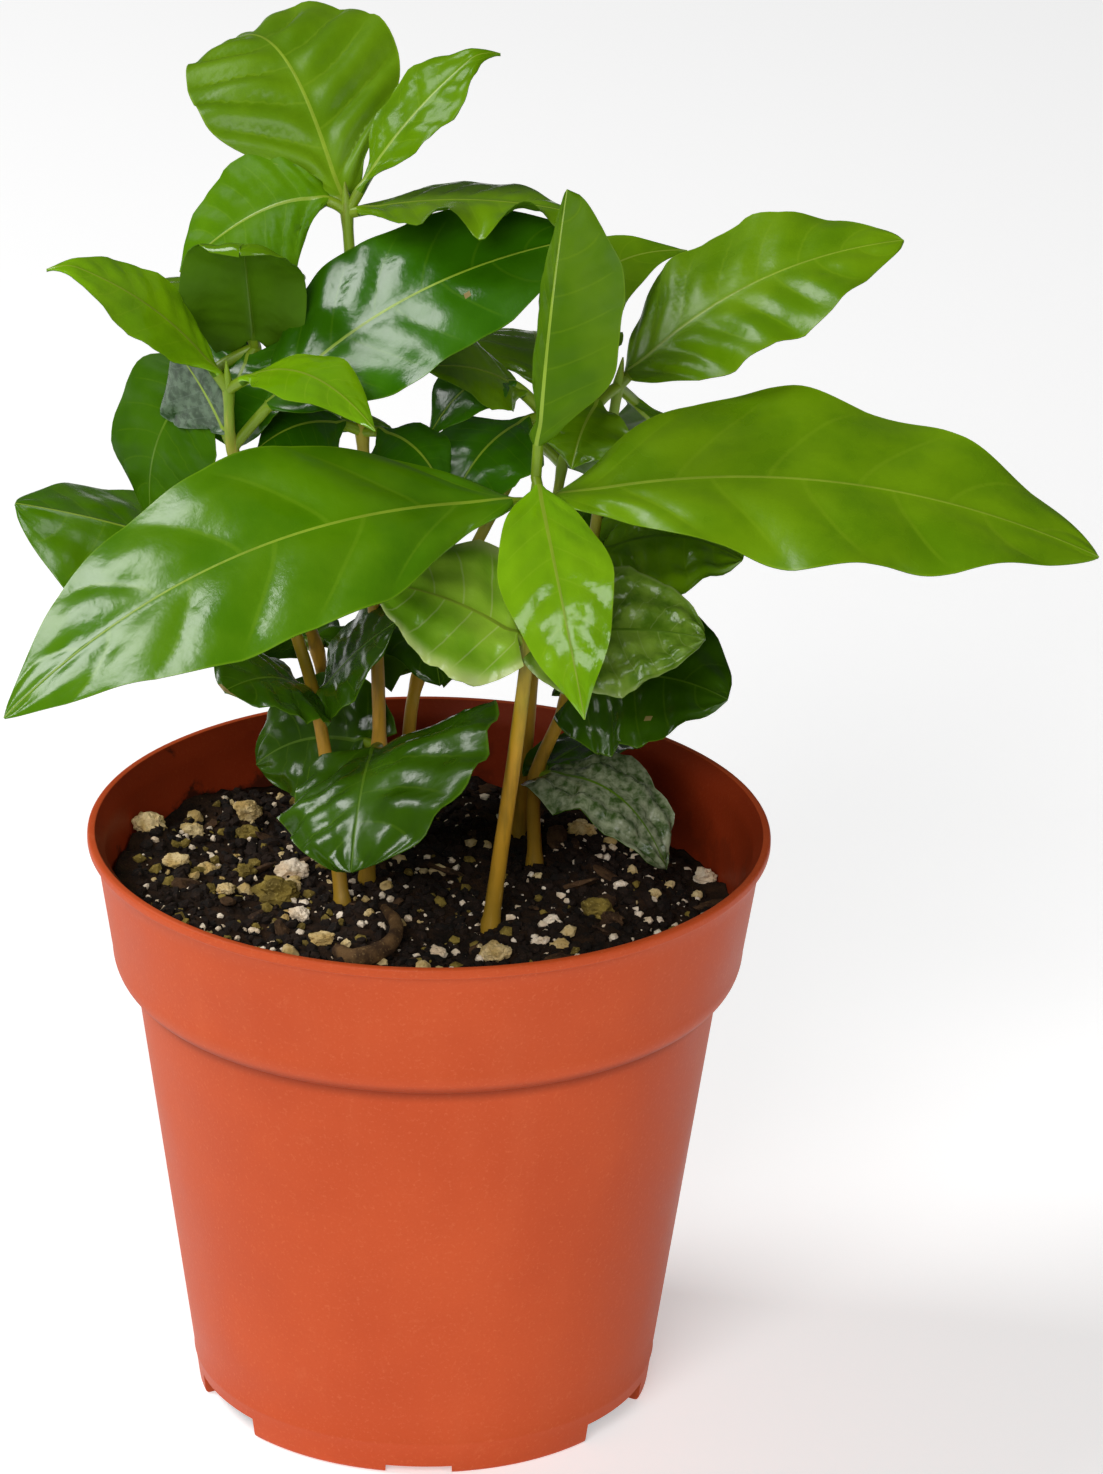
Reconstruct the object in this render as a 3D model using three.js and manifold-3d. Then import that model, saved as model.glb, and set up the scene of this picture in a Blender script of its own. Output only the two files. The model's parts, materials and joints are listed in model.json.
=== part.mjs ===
// A potted coffee plant: seven seedlings growing together in a round nursery pot.
// Millimetres, Z up. The origin is the middle of the pot's flat underside, and -Y is the front.
import * as THREE from "three";
import { mergeVertices } from "three/addons/utils/BufferGeometryUtils.js";
import Module from "manifold-3d";

const wasm = await Module();
wasm.setup();

// Clearance between neighbouring pieces
const GAP = 0.3;

// Points nearer than this are one point, and edges that matter less than this are dropped
const SAME_POINT = 1e-3;
const FLATNESS = 0.01;

// The pot: a tapered body, a shoulder, a collar and a rolled lip
const POT = {
  height: 96,
  footRadius: 36.5,
  footRound: 0.8,
  bodyRadius: 46.5,
  shoulderBottom: 72,
  shoulderTop: 77,
  shoulderSteps: 4,
  collarRadius: 50.1,
  collarTopRadius: 52.7,
  lipRadius: 54,
  lipInner: 52.7,
  lipHeight: 1.7,
  lipRound: 0.5,
  wall: 1.3,
  floor: 2,
  segments: 48,
};

// Openings in the pot's bottom edge, three wide drain slots and three shallow notches in turn
const DRAIN_SLOT = { width: 17, height: 3.4, inner: 30, outer: 40, firstAngle: -30 };
const EDGE_NOTCH = { width: 10.5, height: 1.4, inner: 32, outer: 40, firstAngle: -90 };
const SLOTS_OF_EACH_KIND = 3;

// The soil: level round the stems, banked a little against the wall
const SOIL = { top: 84, levelRadius: 28, bankLeft: 3.6, bankFront: 0.8, topRings: [46, 38, 28] };

// Stems
const STEM = {
  sides: 8,
  ringSpacing: 9,
  rootFlare: 0.35,
  flareHeight: 1.2,
  nodeHalf: 3,
  nodeSwell: 1.18,
  lengthSteps: 100,
};
const STRETCHES = ["lower_stem", "middle_stem", "upper_stem", "top_stem"];

// The bud that ends a stem. taper is how much of its width is gone at its point
const BUD = { length: 5, sides: 6, taper: 0.8 };

// Two kinds of leaf. stations are the places along the blade, from its foot to its tip
const LEAF_KINDS = {
  true: {
    petiole: 5.5,
    petioleRadius: 0.85,
    thickness: 0.95,
    ribThickness: 1.5,
    widestAt: 0.88,
    fullness: 0.9,
    lobe: 0,
    baseTaper: 0.45,
    stations: [0.07, 0.17, 0.3, 0.43, 0.56, 0.68, 0.79, 0.9, 1],
  },
  seed: {
    petiole: 2.4,
    petioleRadius: 0.9,
    thickness: 0.9,
    ribThickness: 1.3,
    widestAt: 0.78,
    fullness: 0.62,
    lobe: 4,
    baseTaper: 0,
    stations: [0.05, 0.16, 0.32, 0.48, 0.64, 0.79, 0.91, 1],
  },
};
// What a leaf has unless it says otherwise. peak is where along it the bow is highest, fold lifts its
// margins, curl bends them down again, wave ripples them, lopsided widens the right-hand half, lean does
// so near the foot of the blade only, and lift is how far above the node it grows
const LEAF_DEFAULTS = {
  bow: 3,
  peak: 0.5,
  sway: 0,
  roll: 0,
  fold: 0.1,
  curl: 0.12,
  wave: 0.6,
  lopsided: 0,
  lean: 0,
  lift: 0,
};

// The ripple of a leaf's margins: its count, and its shift from leaf to leaf and from side to side
const RIPPLE = { count: 2.6, leafShift: 2.4, sideShift: 2 };
const TIP_HALF_WIDTH = 0.45;
const BASE_TAPER_END = 0.3;
const LEAN_END = 0.6;
const RIB_TAPER = 0.5;

// The petiole's round section ends just before the blade, and half way out it is this much of its height
const PETIOLE_END = 0.98;
const ROUND_HALF_WAY = Math.sqrt(3) / 2;

// The seedlings. A tier is a node of the stem with its leaves. tip is where a leaf ends, bow and sway
// are how far its midrib bends up and sideways, and roll turns its blade, in degrees. bud is the bud's
// length where it differs
const SEEDLINGS = {
  front: {
    foot: [10, -10.5],
    radii: [1.3, 0.95],
    bud: 8,
    tiers: [
      {
        name: "seed_leaves",
        at: [15.2, -12.5, 132.5],
        leaves: [
          { kind: "seed", tip: [-8.8, -10, 141.5], width: 24, bow: 2, roll: 40, widestAt: 0.68 },
          { kind: "seed", tip: [42.5, -16, 135.5], width: 23, bow: 2, roll: -38 },
        ],
      },
      {
        name: "crown",
        at: [16, -13.8, 156.6],
        leaves: [
          { tip: [-64, -38, 129.5], width: 38, bow: 10.5, roll: 25, fullness: 0.8, petiole: 3 },
          {
            tip: [102, -22, 152.5],
            width: 38,
            bow: 8,
            roll: -22,
            fullness: 0.75,
            widestAt: 0.8,
            baseTaper: 0.2,
            lean: -0.3,
            petiole: 3,
          },
          {
            tip: [24, -38, 131],
            width: 18,
            bow: 5,
            sway: 1.5,
            petiole: 2,
            lift: 4.2,
            widestAt: 0.8,
            baseTaper: 0,
          },
          { tip: [20, -4, 204], width: 14, bow: 4, sway: 6, fullness: 0.7, lift: 4.2 },
        ],
      },
    ],
  },
  left: {
    foot: [-13.6, -3],
    radii: [1.15, 0.8],
    tiers: [
      {
        name: "seed_leaves",
        at: [-18.2, 5, 115],
        leaves: [
          { kind: "seed", tip: [-32, -7, 121.5], width: 24, bow: 3, roll: 15, petiole: 3.6 },
          { kind: "seed", tip: [-5.5, -2, 131.5], width: 15, bow: 1, roll: -45, lobe: 2 },
        ],
      },
      {
        name: "middle_leaves",
        at: [-31, -2, 160.2],
        leaves: [
          {
            tip: [25.5, 5, 193.5],
            width: 29,
            bow: 7,
            roll: -31,
            petiole: 8,
            fullness: 0.7,
            widestAt: 0.85,
            baseTaper: 0,
          },
          { tip: [-39, 4, 172.8], width: 17, bow: 1, roll: 70, lopsided: -0.4, petiole: 2.5 },
        ],
      },
      {
        name: "crown",
        at: [-31.6, -3, 170.2],
        leaves: [
          { tip: [-58, -5, 191.5], width: 17, bow: 3, roll: 20, petiole: 3 },
          { tip: [-8.5, -22, 171], width: 14, bow: 6, roll: -10, petiole: 3 },
        ],
      },
    ],
  },
  tall: {
    foot: [-10, 6.5],
    radii: [1.15, 0.85],
    tiers: [
      {
        name: "seed_leaves",
        at: [-8.2, 6, 107],
        leaves: [
          {
            kind: "seed",
            tip: [-11.5, -26, 99.5],
            width: 40,
            bow: 6,
            roll: -31,
            lopsided: -0.2,
            petiole: 6.5,
            lobe: 1.2,
            fullness: 0.5,
            widestAt: 0.72,
          },
          { kind: "seed", tip: [-28, 18, 98.5], width: 22, bow: 3, roll: 60 },
        ],
      },
      {
        name: "middle_leaves",
        at: [-11.3, 9.5, 159],
        leaves: [
          { tip: [-27.5, 3, 158], width: 19, bow: 3, roll: 20, lopsided: -0.4, petiole: 3 },
          { tip: [2, -1, 152], width: 18, bow: 4, roll: -15, lopsided: 0.35, petiole: 3 },
          { tip: [-16, 38, 148], width: 20, bow: 4 },
        ],
      },
      {
        name: "crown",
        at: [-14, 14, 193.3],
        leaves: [
          {
            tip: [-40, 17.5, 182],
            width: 24,
            bow: 5,
            peak: 0.35,
            roll: 48,
            lopsided: -0.16,
            fullness: 0.75,
            widestAt: 0.78,
            petiole: 2,
          },
          { tip: [20.5, 4, 197.5], width: 21, bow: 2, petiole: 2, wave: 1.8 },
          {
            tip: [-37, 63.5, 201],
            width: 33,
            bow: 14,
            peak: 0.55,
            roll: 19,
            widestAt: 0.8,
            petiole: 2,
          },
          { tip: [7.6, 20, 219], width: 15, bow: 2, roll: -18, lopsided: -0.1, widestAt: 1.15, petiole: 4 },
        ],
      },
    ],
  },
  back: {
    foot: [-4, 22],
    radii: [1.15, 0.8],
    tiers: [
      {
        name: "seed_leaves",
        at: [-2.4, 21, 113],
        leaves: [
          { kind: "seed", tip: [1.3, 6, 117.8], width: 23, bow: 2 },
          { kind: "seed", tip: [4, 45, 105], width: 22, bow: 4 },
        ],
      },
      {
        name: "crown",
        at: [17, 22, 157.5],
        leaves: [
          { tip: [-2, 10, 169.5], width: 18, bow: 3, roll: 25 },
          { tip: [-1, 12, 157], width: 14, bow: 8, roll: 10 },
          { tip: [39, 30, 182.5], width: 14, bow: 9, peak: 0.6, roll: -10 },
          { tip: [14, 64, 152], width: 28, bow: 8 },
          { tip: [2.5, 8, 146], width: 23, bow: 4, petiole: 3 },
        ],
      },
    ],
  },
  right: {
    foot: [16.7, 14],
    radii: [1.15, 0.8],
    tiers: [
      {
        name: "seed_leaves",
        at: [16.7, 14, 99],
        leaves: [
          { kind: "seed", tip: [37.5, 2, 88.5], width: 18, bow: 6, roll: -8, wave: 1.6 },
          { kind: "seed", tip: [33, 36, 95], width: 12, bow: 3 },
        ],
      },
      {
        name: "middle_leaves",
        at: [21.3, 14, 112.3],
        leaves: [
          { kind: "seed", tip: [46.7, 4, 117], width: 30, bow: 4, roll: -30 },
          { kind: "seed", tip: [46, 28, 109], width: 20, bow: 3 },
        ],
      },
      {
        name: "upper_leaves",
        at: [24.6, 13.4, 136.5],
        leaves: [
          { kind: "seed", tip: [48.5, 7, 139.5], width: 29, bow: 4, roll: -24 },
          { kind: "seed", tip: [40, 38, 134], width: 22, bow: 4 },
        ],
      },
      {
        name: "crown",
        at: [28.5, 12, 166.3],
        leaves: [
          { tip: [72.5, 18, 189], width: 30, bow: 5, roll: -20, fullness: 0.62, baseTaper: 0, petiole: 2 },
          { tip: [21.5, 0, 157], width: 16, bow: 3, wave: 1.5 },
          { tip: [50, 46, 130], width: 24, bow: 1 },
        ],
      },
    ],
  },
  back_right: {
    foot: [14, 25],
    radii: [1.15, 0.8],
    tiers: [
      {
        name: "seed_leaves",
        at: [17, 22, 126],
        leaves: [
          { kind: "seed", tip: [37, 41, 120], width: 21, bow: 4 },
          { kind: "seed", tip: [1, 45, 121], width: 21, bow: 4 },
        ],
      },
      {
        name: "crown",
        at: [20, 25, 148],
        leaves: [
          { tip: [4, 58, 134], width: 26, bow: 6 },
          { tip: [28, 66, 128], width: 26, bow: 6 },
        ],
      },
    ],
  },
  back_left: {
    foot: [-13, 24],
    radii: [1.15, 0.8],
    tiers: [
      {
        name: "seed_leaves",
        at: [-18.6, 22, 117],
        leaves: [
          { kind: "seed", tip: [-33, 37, 111], width: 22, bow: 3 },
          { kind: "seed", tip: [-16, 45, 108], width: 20, bow: 3 },
        ],
      },
      {
        name: "middle_leaves",
        at: [-21.5, 18, 128],
        leaves: [
          { tip: [-65.5, 8, 146.5], width: 32, bow: 2, roll: 28, fold: -0.4, fullness: 0.6 },
          { tip: [-20, 62, 124], width: 30, bow: 10 },
        ],
      },
      {
        name: "crown",
        at: [-28, 10, 172.5],
        leaves: [
          {
            tip: [-29.5, 0.5, 195],
            width: 19,
            bow: 0,
            roll: -6,
            lopsided: 0.1,
            fullness: 0.45,
            widestAt: 1.05,
            baseTaper: 0.2,
            petiole: 2.8,
            wave: 1.2,
          },
          { tip: [-44, 8, 144.5], width: 25, bow: 6, roll: 32, fullness: 0.55 },
          { tip: [-42, 58, 152], width: 30, bow: 12 },
          { tip: [-32, 5, 158], width: 14, bow: 2, petiole: 2.5 },
        ],
      },
    ],
  },
};

const UP = new THREE.Vector3(0, 0, 1);
const FRONT_TO_BACK = new THREE.Vector3(0, 1, 0);

const MATERIALS = {
  pot: new THREE.MeshStandardMaterial({ color: 0xc4562f, roughness: 0.6, metalness: 0 }),
  soil: new THREE.MeshStandardMaterial({ color: 0x2e1d12, roughness: 0.95, metalness: 0 }),
  stem: new THREE.MeshStandardMaterial({ color: 0x8f7a2a, roughness: 0.6, metalness: 0 }),
  leaf: new THREE.MeshStandardMaterial({ color: 0x3f7a12, roughness: 0.35, metalness: 0 }),
};

// A closed solid from positions and triangles
function solidFromArrays(vertProperties, triVerts) {
  return new wasm.Manifold(new wasm.Mesh({ numProp: 3, vertProperties, triVerts }));
}

// A closed solid from a three.js geometry, with shared vertices merged and empty triangles dropped
function solidFromGeometry(geometry) {
  geometry.deleteAttribute("normal");
  geometry.deleteAttribute("uv");
  const merged = mergeVertices(geometry, SAME_POINT);
  const triangles = [];
  for (let i = 0; i < merged.index.count; i += 3) {
    const [a, b, c] = merged.index.array.slice(i, i + 3);
    if (a !== b && b !== c && c !== a) triangles.push(a, b, c);
  }
  return solidFromArrays(merged.attributes.position.array, new Uint32Array(triangles));
}

// A solid skinned over rings of points, each with the same number of points
function loft(rings) {
  const sides = rings[0].length;
  const positions = new Float32Array(rings.flat().flatMap((p) => [p.x, p.y, p.z]));
  const triangles = [];
  for (let ring = 0; ring + 1 < rings.length; ring++) {
    for (let side = 0; side < sides; side++) {
      const next = (side + 1) % sides;
      const a = ring * sides + side;
      const b = ring * sides + next;
      triangles.push(a, a + sides, b + sides, a, b + sides, b);
    }
  }
  const last = (rings.length - 1) * sides;
  for (let side = 1; side + 1 < sides; side++) {
    triangles.push(0, side, side + 1);
    triangles.push(last, last + side + 1, last + side);
  }
  return solidFromArrays(positions, new Uint32Array(triangles));
}

function fuse(solids) {
  return solids.reduce((whole, solid) => whole.add(solid)).simplify(FLATNESS);
}

function meshFromSolid(name, solid, material) {
  const { vertProperties, triVerts } = solid.getMesh();
  const geometry = new THREE.BufferGeometry();
  geometry.setAttribute("position", new THREE.BufferAttribute(new Float32Array(vertProperties), 3));
  geometry.setIndex(new THREE.BufferAttribute(new Uint32Array(triVerts), 1));
  geometry.computeVertexNormals();
  const mesh = new THREE.Mesh(geometry, material);
  mesh.name = name;
  return mesh;
}

// Turns an upright profile of radius and height about Z
function lathe(profile) {
  const points = profile.map(([radius, height]) => new THREE.Vector2(radius, height));
  return new THREE.LatheGeometry(points, POT.segments).rotateX(Math.PI / 2);
}

// Pot

// The shoulder's quarter round, from the body up to the collar
function shoulderCurve(inset) {
  const points = [];
  for (let i = 0; i <= POT.shoulderSteps; i++) {
    const angle = (i / POT.shoulderSteps) * (Math.PI / 2);
    const out = POT.bodyRadius + (POT.collarRadius - POT.bodyRadius) * Math.sin(angle);
    const up = POT.shoulderTop - (POT.shoulderTop - POT.shoulderBottom) * Math.cos(angle);
    points.push([out - inset, up]);
  }
  return points;
}

function potProfile() {
  const lipBottom = POT.height - POT.lipHeight;
  return [
    [0, 0],
    [POT.footRadius - POT.footRound, 0],
    [POT.footRadius, POT.footRound],
    ...shoulderCurve(0),
    [POT.collarTopRadius, lipBottom - POT.lipRound],
    [POT.lipRadius - POT.lipRound, lipBottom],
    [POT.lipRadius, lipBottom + POT.lipRound],
    [POT.lipRadius, POT.height - POT.lipRound],
    [POT.lipRadius - POT.lipRound, POT.height],
    [POT.lipInner, POT.height],
    [POT.collarTopRadius - POT.wall, lipBottom],
    ...shoulderCurve(POT.wall).reverse(),
    [POT.footRadius - POT.wall, POT.floor],
    [0, POT.floor],
  ];
}

function slotCutter(slot, turn) {
  const depth = slot.outer - slot.inner;
  const height = 2 * slot.height;
  const angle = THREE.MathUtils.degToRad(slot.firstAngle + (turn * 360) / SLOTS_OF_EACH_KIND);
  const box = new THREE.BoxGeometry(depth, slot.width, height);
  box.translate(slot.inner + depth / 2, 0, 0);
  return solidFromGeometry(box.rotateZ(angle));
}

function makePot() {
  let pot = solidFromGeometry(lathe(potProfile()));
  for (let turn = 0; turn < SLOTS_OF_EACH_KIND; turn++) {
    pot = pot.subtract(slotCutter(DRAIN_SLOT, turn));
    pot = pot.subtract(slotCutter(EDGE_NOTCH, turn));
  }
  return meshFromSolid("pot", pot, MATERIALS.pot);
}

// Soil

function soilBank(x, y) {
  const radius = Math.hypot(x, y);
  const share = THREE.MathUtils.smoothstep(radius, SOIL.levelRadius, SOIL.topRings[0]);
  return (share * -(SOIL.bankLeft * x + SOIL.bankFront * y)) / SOIL.topRings[0];
}

// The soil's side follows the inside of the pot, a gap clear of it
function soilProfile() {
  const inset = POT.wall + GAP;
  const slope = (POT.collarTopRadius - POT.collarRadius) / (POT.height - POT.lipHeight - POT.shoulderTop);
  const edge = POT.collarRadius + slope * (SOIL.top - SOIL.bankLeft - POT.shoulderTop) - inset - GAP;
  return [
    [0, POT.floor + GAP],
    [POT.footRadius - inset, POT.floor + GAP],
    [POT.bodyRadius - inset, POT.shoulderBottom + GAP],
    [POT.collarRadius - inset, POT.shoulderTop + GAP],
    [edge, SOIL.top],
    ...SOIL.topRings.map((radius) => [radius, SOIL.top]),
    [0, SOIL.top],
  ];
}

function makeSoil() {
  const geometry = lathe(soilProfile());
  const position = geometry.attributes.position;
  for (let i = 0; i < position.count; i++) {
    const isTop = position.getZ(i) > SOIL.top - GAP;
    if (isTop) position.setZ(i, SOIL.top + soilBank(position.getX(i), position.getY(i)));
  }
  return meshFromSolid("soil", solidFromGeometry(geometry), MATERIALS.soil);
}

// Stems

// The line that a seedling's stem follows, and how far along it each tier stands
function stemLine(seedling) {
  const foot = new THREE.Vector3(...seedling.foot, SOIL.top + GAP);
  const points = [foot, ...seedling.tiers.map((tier) => new THREE.Vector3(...tier.at))];
  const curve = new THREE.CatmullRomCurve3(points);
  curve.arcLengthDivisions = STEM.lengthSteps * seedling.tiers.length;
  const lengths = curve.getLengths();
  const tierAt = seedling.tiers.map((tier, index) => lengths[STEM.lengthSteps * (index + 1)]);
  const bud = seedling.bud ?? BUD.length;
  return { curve, length: curve.getLength(), tierAt, radii: seedling.radii, bud };
}

function stemRadius(line, at) {
  const [low, high] = line.radii;
  const taper = low + (high - low) * Math.min(1, at / line.length);
  return taper + STEM.rootFlare * Math.exp(-at / STEM.flareHeight);
}

function circle(centre, along, radius, sides) {
  const side = along.clone().cross(FRONT_TO_BACK).normalize();
  const lift = side.clone().cross(along);
  const points = [];
  for (let i = 0; i < sides; i++) {
    const angle = (i / sides) * 2 * Math.PI;
    const offset = side.clone().multiplyScalar(Math.cos(angle)).addScaledVector(lift, Math.sin(angle));
    points.push(centre.clone().addScaledVector(offset, radius));
  }
  return points;
}

// A stretch of stem between two places on its line. The cut at the soil is level
function stemPiece(line, from, to, swell) {
  const steps = Math.max(2, Math.round((to - from) / STEM.ringSpacing));
  const rings = [];
  for (let i = 0; i <= steps; i++) {
    const at = from + ((to - from) * i) / steps;
    const along = at === 0 ? UP : line.curve.getTangentAt(at / line.length);
    const middle = swell ? 1 + (swell - 1) * Math.sin((Math.PI * i) / steps) : 1;
    const centre = line.curve.getPointAt(at / line.length);
    rings.push(circle(centre, along, stemRadius(line, at) * middle, STEM.sides));
  }
  return loft(rings);
}

// The pointed bud that ends a stem
function budPiece(line) {
  const along = line.curve.getTangentAt(1);
  const foot = line.curve.getPointAt(1).addScaledVector(along, -STEM.nodeHalf / 2);
  const radius = line.radii[1];
  const rings = [0, 0.5, 1].map((share) => {
    const centre = foot.clone().addScaledVector(along, share * (line.bud + STEM.nodeHalf / 2));
    return circle(centre, along, radius * (1 - BUD.taper * share ** 2), BUD.sides);
  });
  return loft(rings);
}

// Leaves

// The leaf's own axes: along its chord, level across it, and square to both
function prepareLeaf(node, spec, order) {
  const leaf = { ...LEAF_DEFAULTS, ...LEAF_KINDS[spec.kind ?? "true"], ...spec };
  leaf.root = node.clone().addScaledVector(UP, leaf.lift);
  leaf.phase = order * RIPPLE.leafShift;
  leaf.chord = new THREE.Vector3(...spec.tip).sub(leaf.root);
  leaf.length = leaf.chord.length();
  leaf.side = leaf.chord.clone().cross(UP).normalize();
  leaf.rise = leaf.side.clone().cross(leaf.chord).normalize();
  leaf.petioleShare = leaf.petiole / leaf.length;
  leaf.bendPower = Math.log(0.5) / Math.log(leaf.peak);
  return leaf;
}

function midribPoint(leaf, share) {
  const even = share > 0 ? share ** leaf.bendPower : share;
  const bend = 4 * even * (1 - even);
  const point = leaf.root.clone().addScaledVector(leaf.chord, share);
  return point.addScaledVector(leaf.rise, leaf.bow * bend).addScaledVector(leaf.side, leaf.sway * bend);
}

function midribDirection(leaf, share) {
  const step = 0.01;
  return midribPoint(leaf, share + step).sub(midribPoint(leaf, share - step)).normalize();
}

function bladeHalfWidth(leaf, blade) {
  const { petioleRadius, widestAt, fullness } = leaf;
  const outline = Math.sin(Math.PI * Math.min(1, blade ** widestAt)) ** fullness;
  const least = blade < 0.5 ? petioleRadius : TIP_HALF_WIDTH;
  return Math.max(least, (leaf.width / 2) * outline);
}

// A point of the leaf: share runs from root to tip, across from -1 to 1, lift is above the blade
function leafPoint(leaf, share, across, lift) {
  const blade = (share - leaf.petioleShare) / (1 - leaf.petioleShare);
  const onBlade = blade > 0;
  const half = onBlade ? bladeHalfWidth(leaf, blade) : leaf.petioleRadius;
  const back = onBlade ? leaf.lobe * across ** 2 * (1 - blade) ** 2 : 0;
  const at = share - back / leaf.length;
  const along = midribDirection(leaf, at);
  const level = leaf.side.clone().addScaledVector(along, -leaf.side.dot(along)).normalize();
  const upright = level.clone().cross(along);
  const roll = onBlade ? THREE.MathUtils.degToRad(leaf.roll) : 0;
  const side = level.clone().multiplyScalar(Math.cos(roll)).addScaledVector(upright, Math.sin(roll));
  const normal = side.clone().cross(along);
  const shift = leaf.phase + (across > 0 ? 0 : RIPPLE.sideShift);
  const ripple = Math.sin(2 * Math.PI * RIPPLE.count * blade + shift);
  const shape = onBlade
    ? half * (leaf.fold * Math.abs(across) - leaf.curl * across ** 2) + leaf.wave * ripple * across ** 2
    : 0;
  const slim = leaf.baseTaper * (1 - THREE.MathUtils.smoothstep(blade, 0, BASE_TAPER_END));
  const lean = leaf.lopsided + leaf.lean * (1 - THREE.MathUtils.smoothstep(blade, 0, LEAN_END));
  const spread = onBlade ? half * (1 + Math.sign(across) * lean) * (1 - slim * Math.abs(across)) : half;
  const point = midribPoint(leaf, at).addScaledVector(side, across * spread);
  return point.addScaledVector(normal, shape + lift);
}

// A cross section of the leaf: thick at the midrib, thin half way out, sharp at the margin
function leafRing(leaf, share) {
  const { thickness, ribThickness, petioleRadius, petiole } = leaf;
  const onPetiole = share * leaf.length <= petiole;
  const rib = (onPetiole ? 2 * petioleRadius : ribThickness * (1 - RIB_TAPER * share)) / 2;
  const web = onPetiole ? rib * ROUND_HALF_WAY : thickness / 2;
  const outline = [
    [1, 0],
    [0.5, web],
    [0, rib],
    [-0.5, web],
    [-1, 0],
    [-0.5, -web],
    [0, -rib],
    [0.5, -web],
  ];
  return outline.map(([across, lift]) => leafPoint(leaf, share, across, lift));
}

function leafPiece(node, spec, order) {
  const leaf = prepareLeaf(node, spec, order);
  const blade = leaf.stations.map((at) => leaf.petioleShare + at * (1 - leaf.petioleShare));
  const shares = [0, leaf.petioleShare * PETIOLE_END, ...blade];
  return loft(shares.map((share) => leafRing(leaf, share)));
}

// A seedling: stretches of stem, and at each tier a short node with its leaves fused on

function makeSeedling(name, seedling) {
  const line = stemLine(seedling);
  const group = new THREE.Group();
  let from = 0;
  seedling.tiers.forEach((tier, index) => {
    const at = line.tierAt[index];
    const isLast = index === seedling.tiers.length - 1;
    const stretch = stemPiece(line, from, at - STEM.nodeHalf - GAP);
    group.add(meshFromSolid(`${name}_${STRETCHES[index]}`, stretch, MATERIALS.stem));
    const node = new THREE.Vector3(...tier.at);
    const end = isLast ? line.length : at + STEM.nodeHalf;
    const pieces = [stemPiece(line, at - STEM.nodeHalf, end, STEM.nodeSwell)];
    if (isLast) pieces.push(budPiece(line));
    tier.leaves.forEach((spec, order) => pieces.push(leafPiece(node, spec, order)));
    group.add(meshFromSolid(`${name}_${tier.name}`, fuse(pieces), MATERIALS.leaf));
    from = at + STEM.nodeHalf + GAP;
  });
  return group;
}

const plant = new THREE.Group();
plant.name = "potted_coffee_plant";
plant.add(makePot(), makeSoil());
for (const [name, seedling] of Object.entries(SEEDLINGS)) plant.add(makeSeedling(name, seedling));

export default plant;
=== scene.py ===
# Potted coffee plant: seven seedlings in a round nursery pot. Metres, Z up, -Y is the front.
import json
import math

import bmesh
import bpy
import numpy as np
from mathutils import Matrix, Vector, noise

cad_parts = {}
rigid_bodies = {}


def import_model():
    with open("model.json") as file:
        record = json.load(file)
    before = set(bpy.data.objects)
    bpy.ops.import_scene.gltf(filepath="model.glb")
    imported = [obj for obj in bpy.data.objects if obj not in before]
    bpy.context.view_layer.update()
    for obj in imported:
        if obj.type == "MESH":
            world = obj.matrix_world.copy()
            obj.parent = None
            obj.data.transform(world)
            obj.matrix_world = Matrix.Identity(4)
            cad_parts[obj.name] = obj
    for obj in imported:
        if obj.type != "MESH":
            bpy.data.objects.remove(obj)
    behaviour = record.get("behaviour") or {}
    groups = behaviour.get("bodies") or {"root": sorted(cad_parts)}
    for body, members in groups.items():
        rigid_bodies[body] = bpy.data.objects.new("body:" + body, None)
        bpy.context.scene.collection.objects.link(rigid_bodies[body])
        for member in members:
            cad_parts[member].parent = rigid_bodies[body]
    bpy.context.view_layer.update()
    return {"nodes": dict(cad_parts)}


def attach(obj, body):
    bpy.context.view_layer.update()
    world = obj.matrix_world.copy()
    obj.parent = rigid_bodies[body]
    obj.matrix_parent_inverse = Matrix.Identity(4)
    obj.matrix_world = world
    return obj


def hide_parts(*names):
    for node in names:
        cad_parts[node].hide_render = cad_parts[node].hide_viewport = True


for leftover in list(bpy.data.objects):
    bpy.data.objects.remove(leftover)
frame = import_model()
mm = 0.001
print("frame loaded with", len(frame["nodes"]), "nodes")


# Small helpers for node trees

def feed(tree, value, socket):
    if isinstance(value, bpy.types.NodeSocket):
        tree.links.new(value, socket)
    else:
        socket.default_value = value


def put(tree, kind, settings=None, **values):
    node = tree.nodes.new(kind)
    for name, value in (settings or {}).items():
        setattr(node, name, value)
    for name, value in values.items():
        feed(tree, value, node.inputs[name.replace("_", " ")])
    return node


def pairNode(tree, kind, operation, first, second):
    node = put(tree, kind, {"operation": operation})
    feed(tree, first, node.inputs[0])
    feed(tree, second, node.inputs[1])
    return node.outputs[0]


def sums(tree, operation, first, second=0.0):
    return pairNode(tree, "ShaderNodeMath", operation, first, second)


def times(tree, first, second):
    return sums(tree, "MULTIPLY", first, second)


def vectorSums(tree, operation, first, second):
    return pairNode(tree, "ShaderNodeVectorMath", operation, first, second)


def scaleVector(tree, vector, factor):
    return put(tree, "ShaderNodeVectorMath", {"operation": "SCALE"}, Vector=vector, Scale=factor).outputs[0]


def fit(tree, value, low, high, toLow=0.0, toHigh=1.0):
    node = put(tree, "ShaderNodeMapRange", {"interpolation_type": "SMOOTHSTEP"})
    for socket, given in zip(node.inputs, (value, low, high, toLow, toHigh)):
        feed(tree, given, socket)
    return node.outputs[0]


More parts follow.
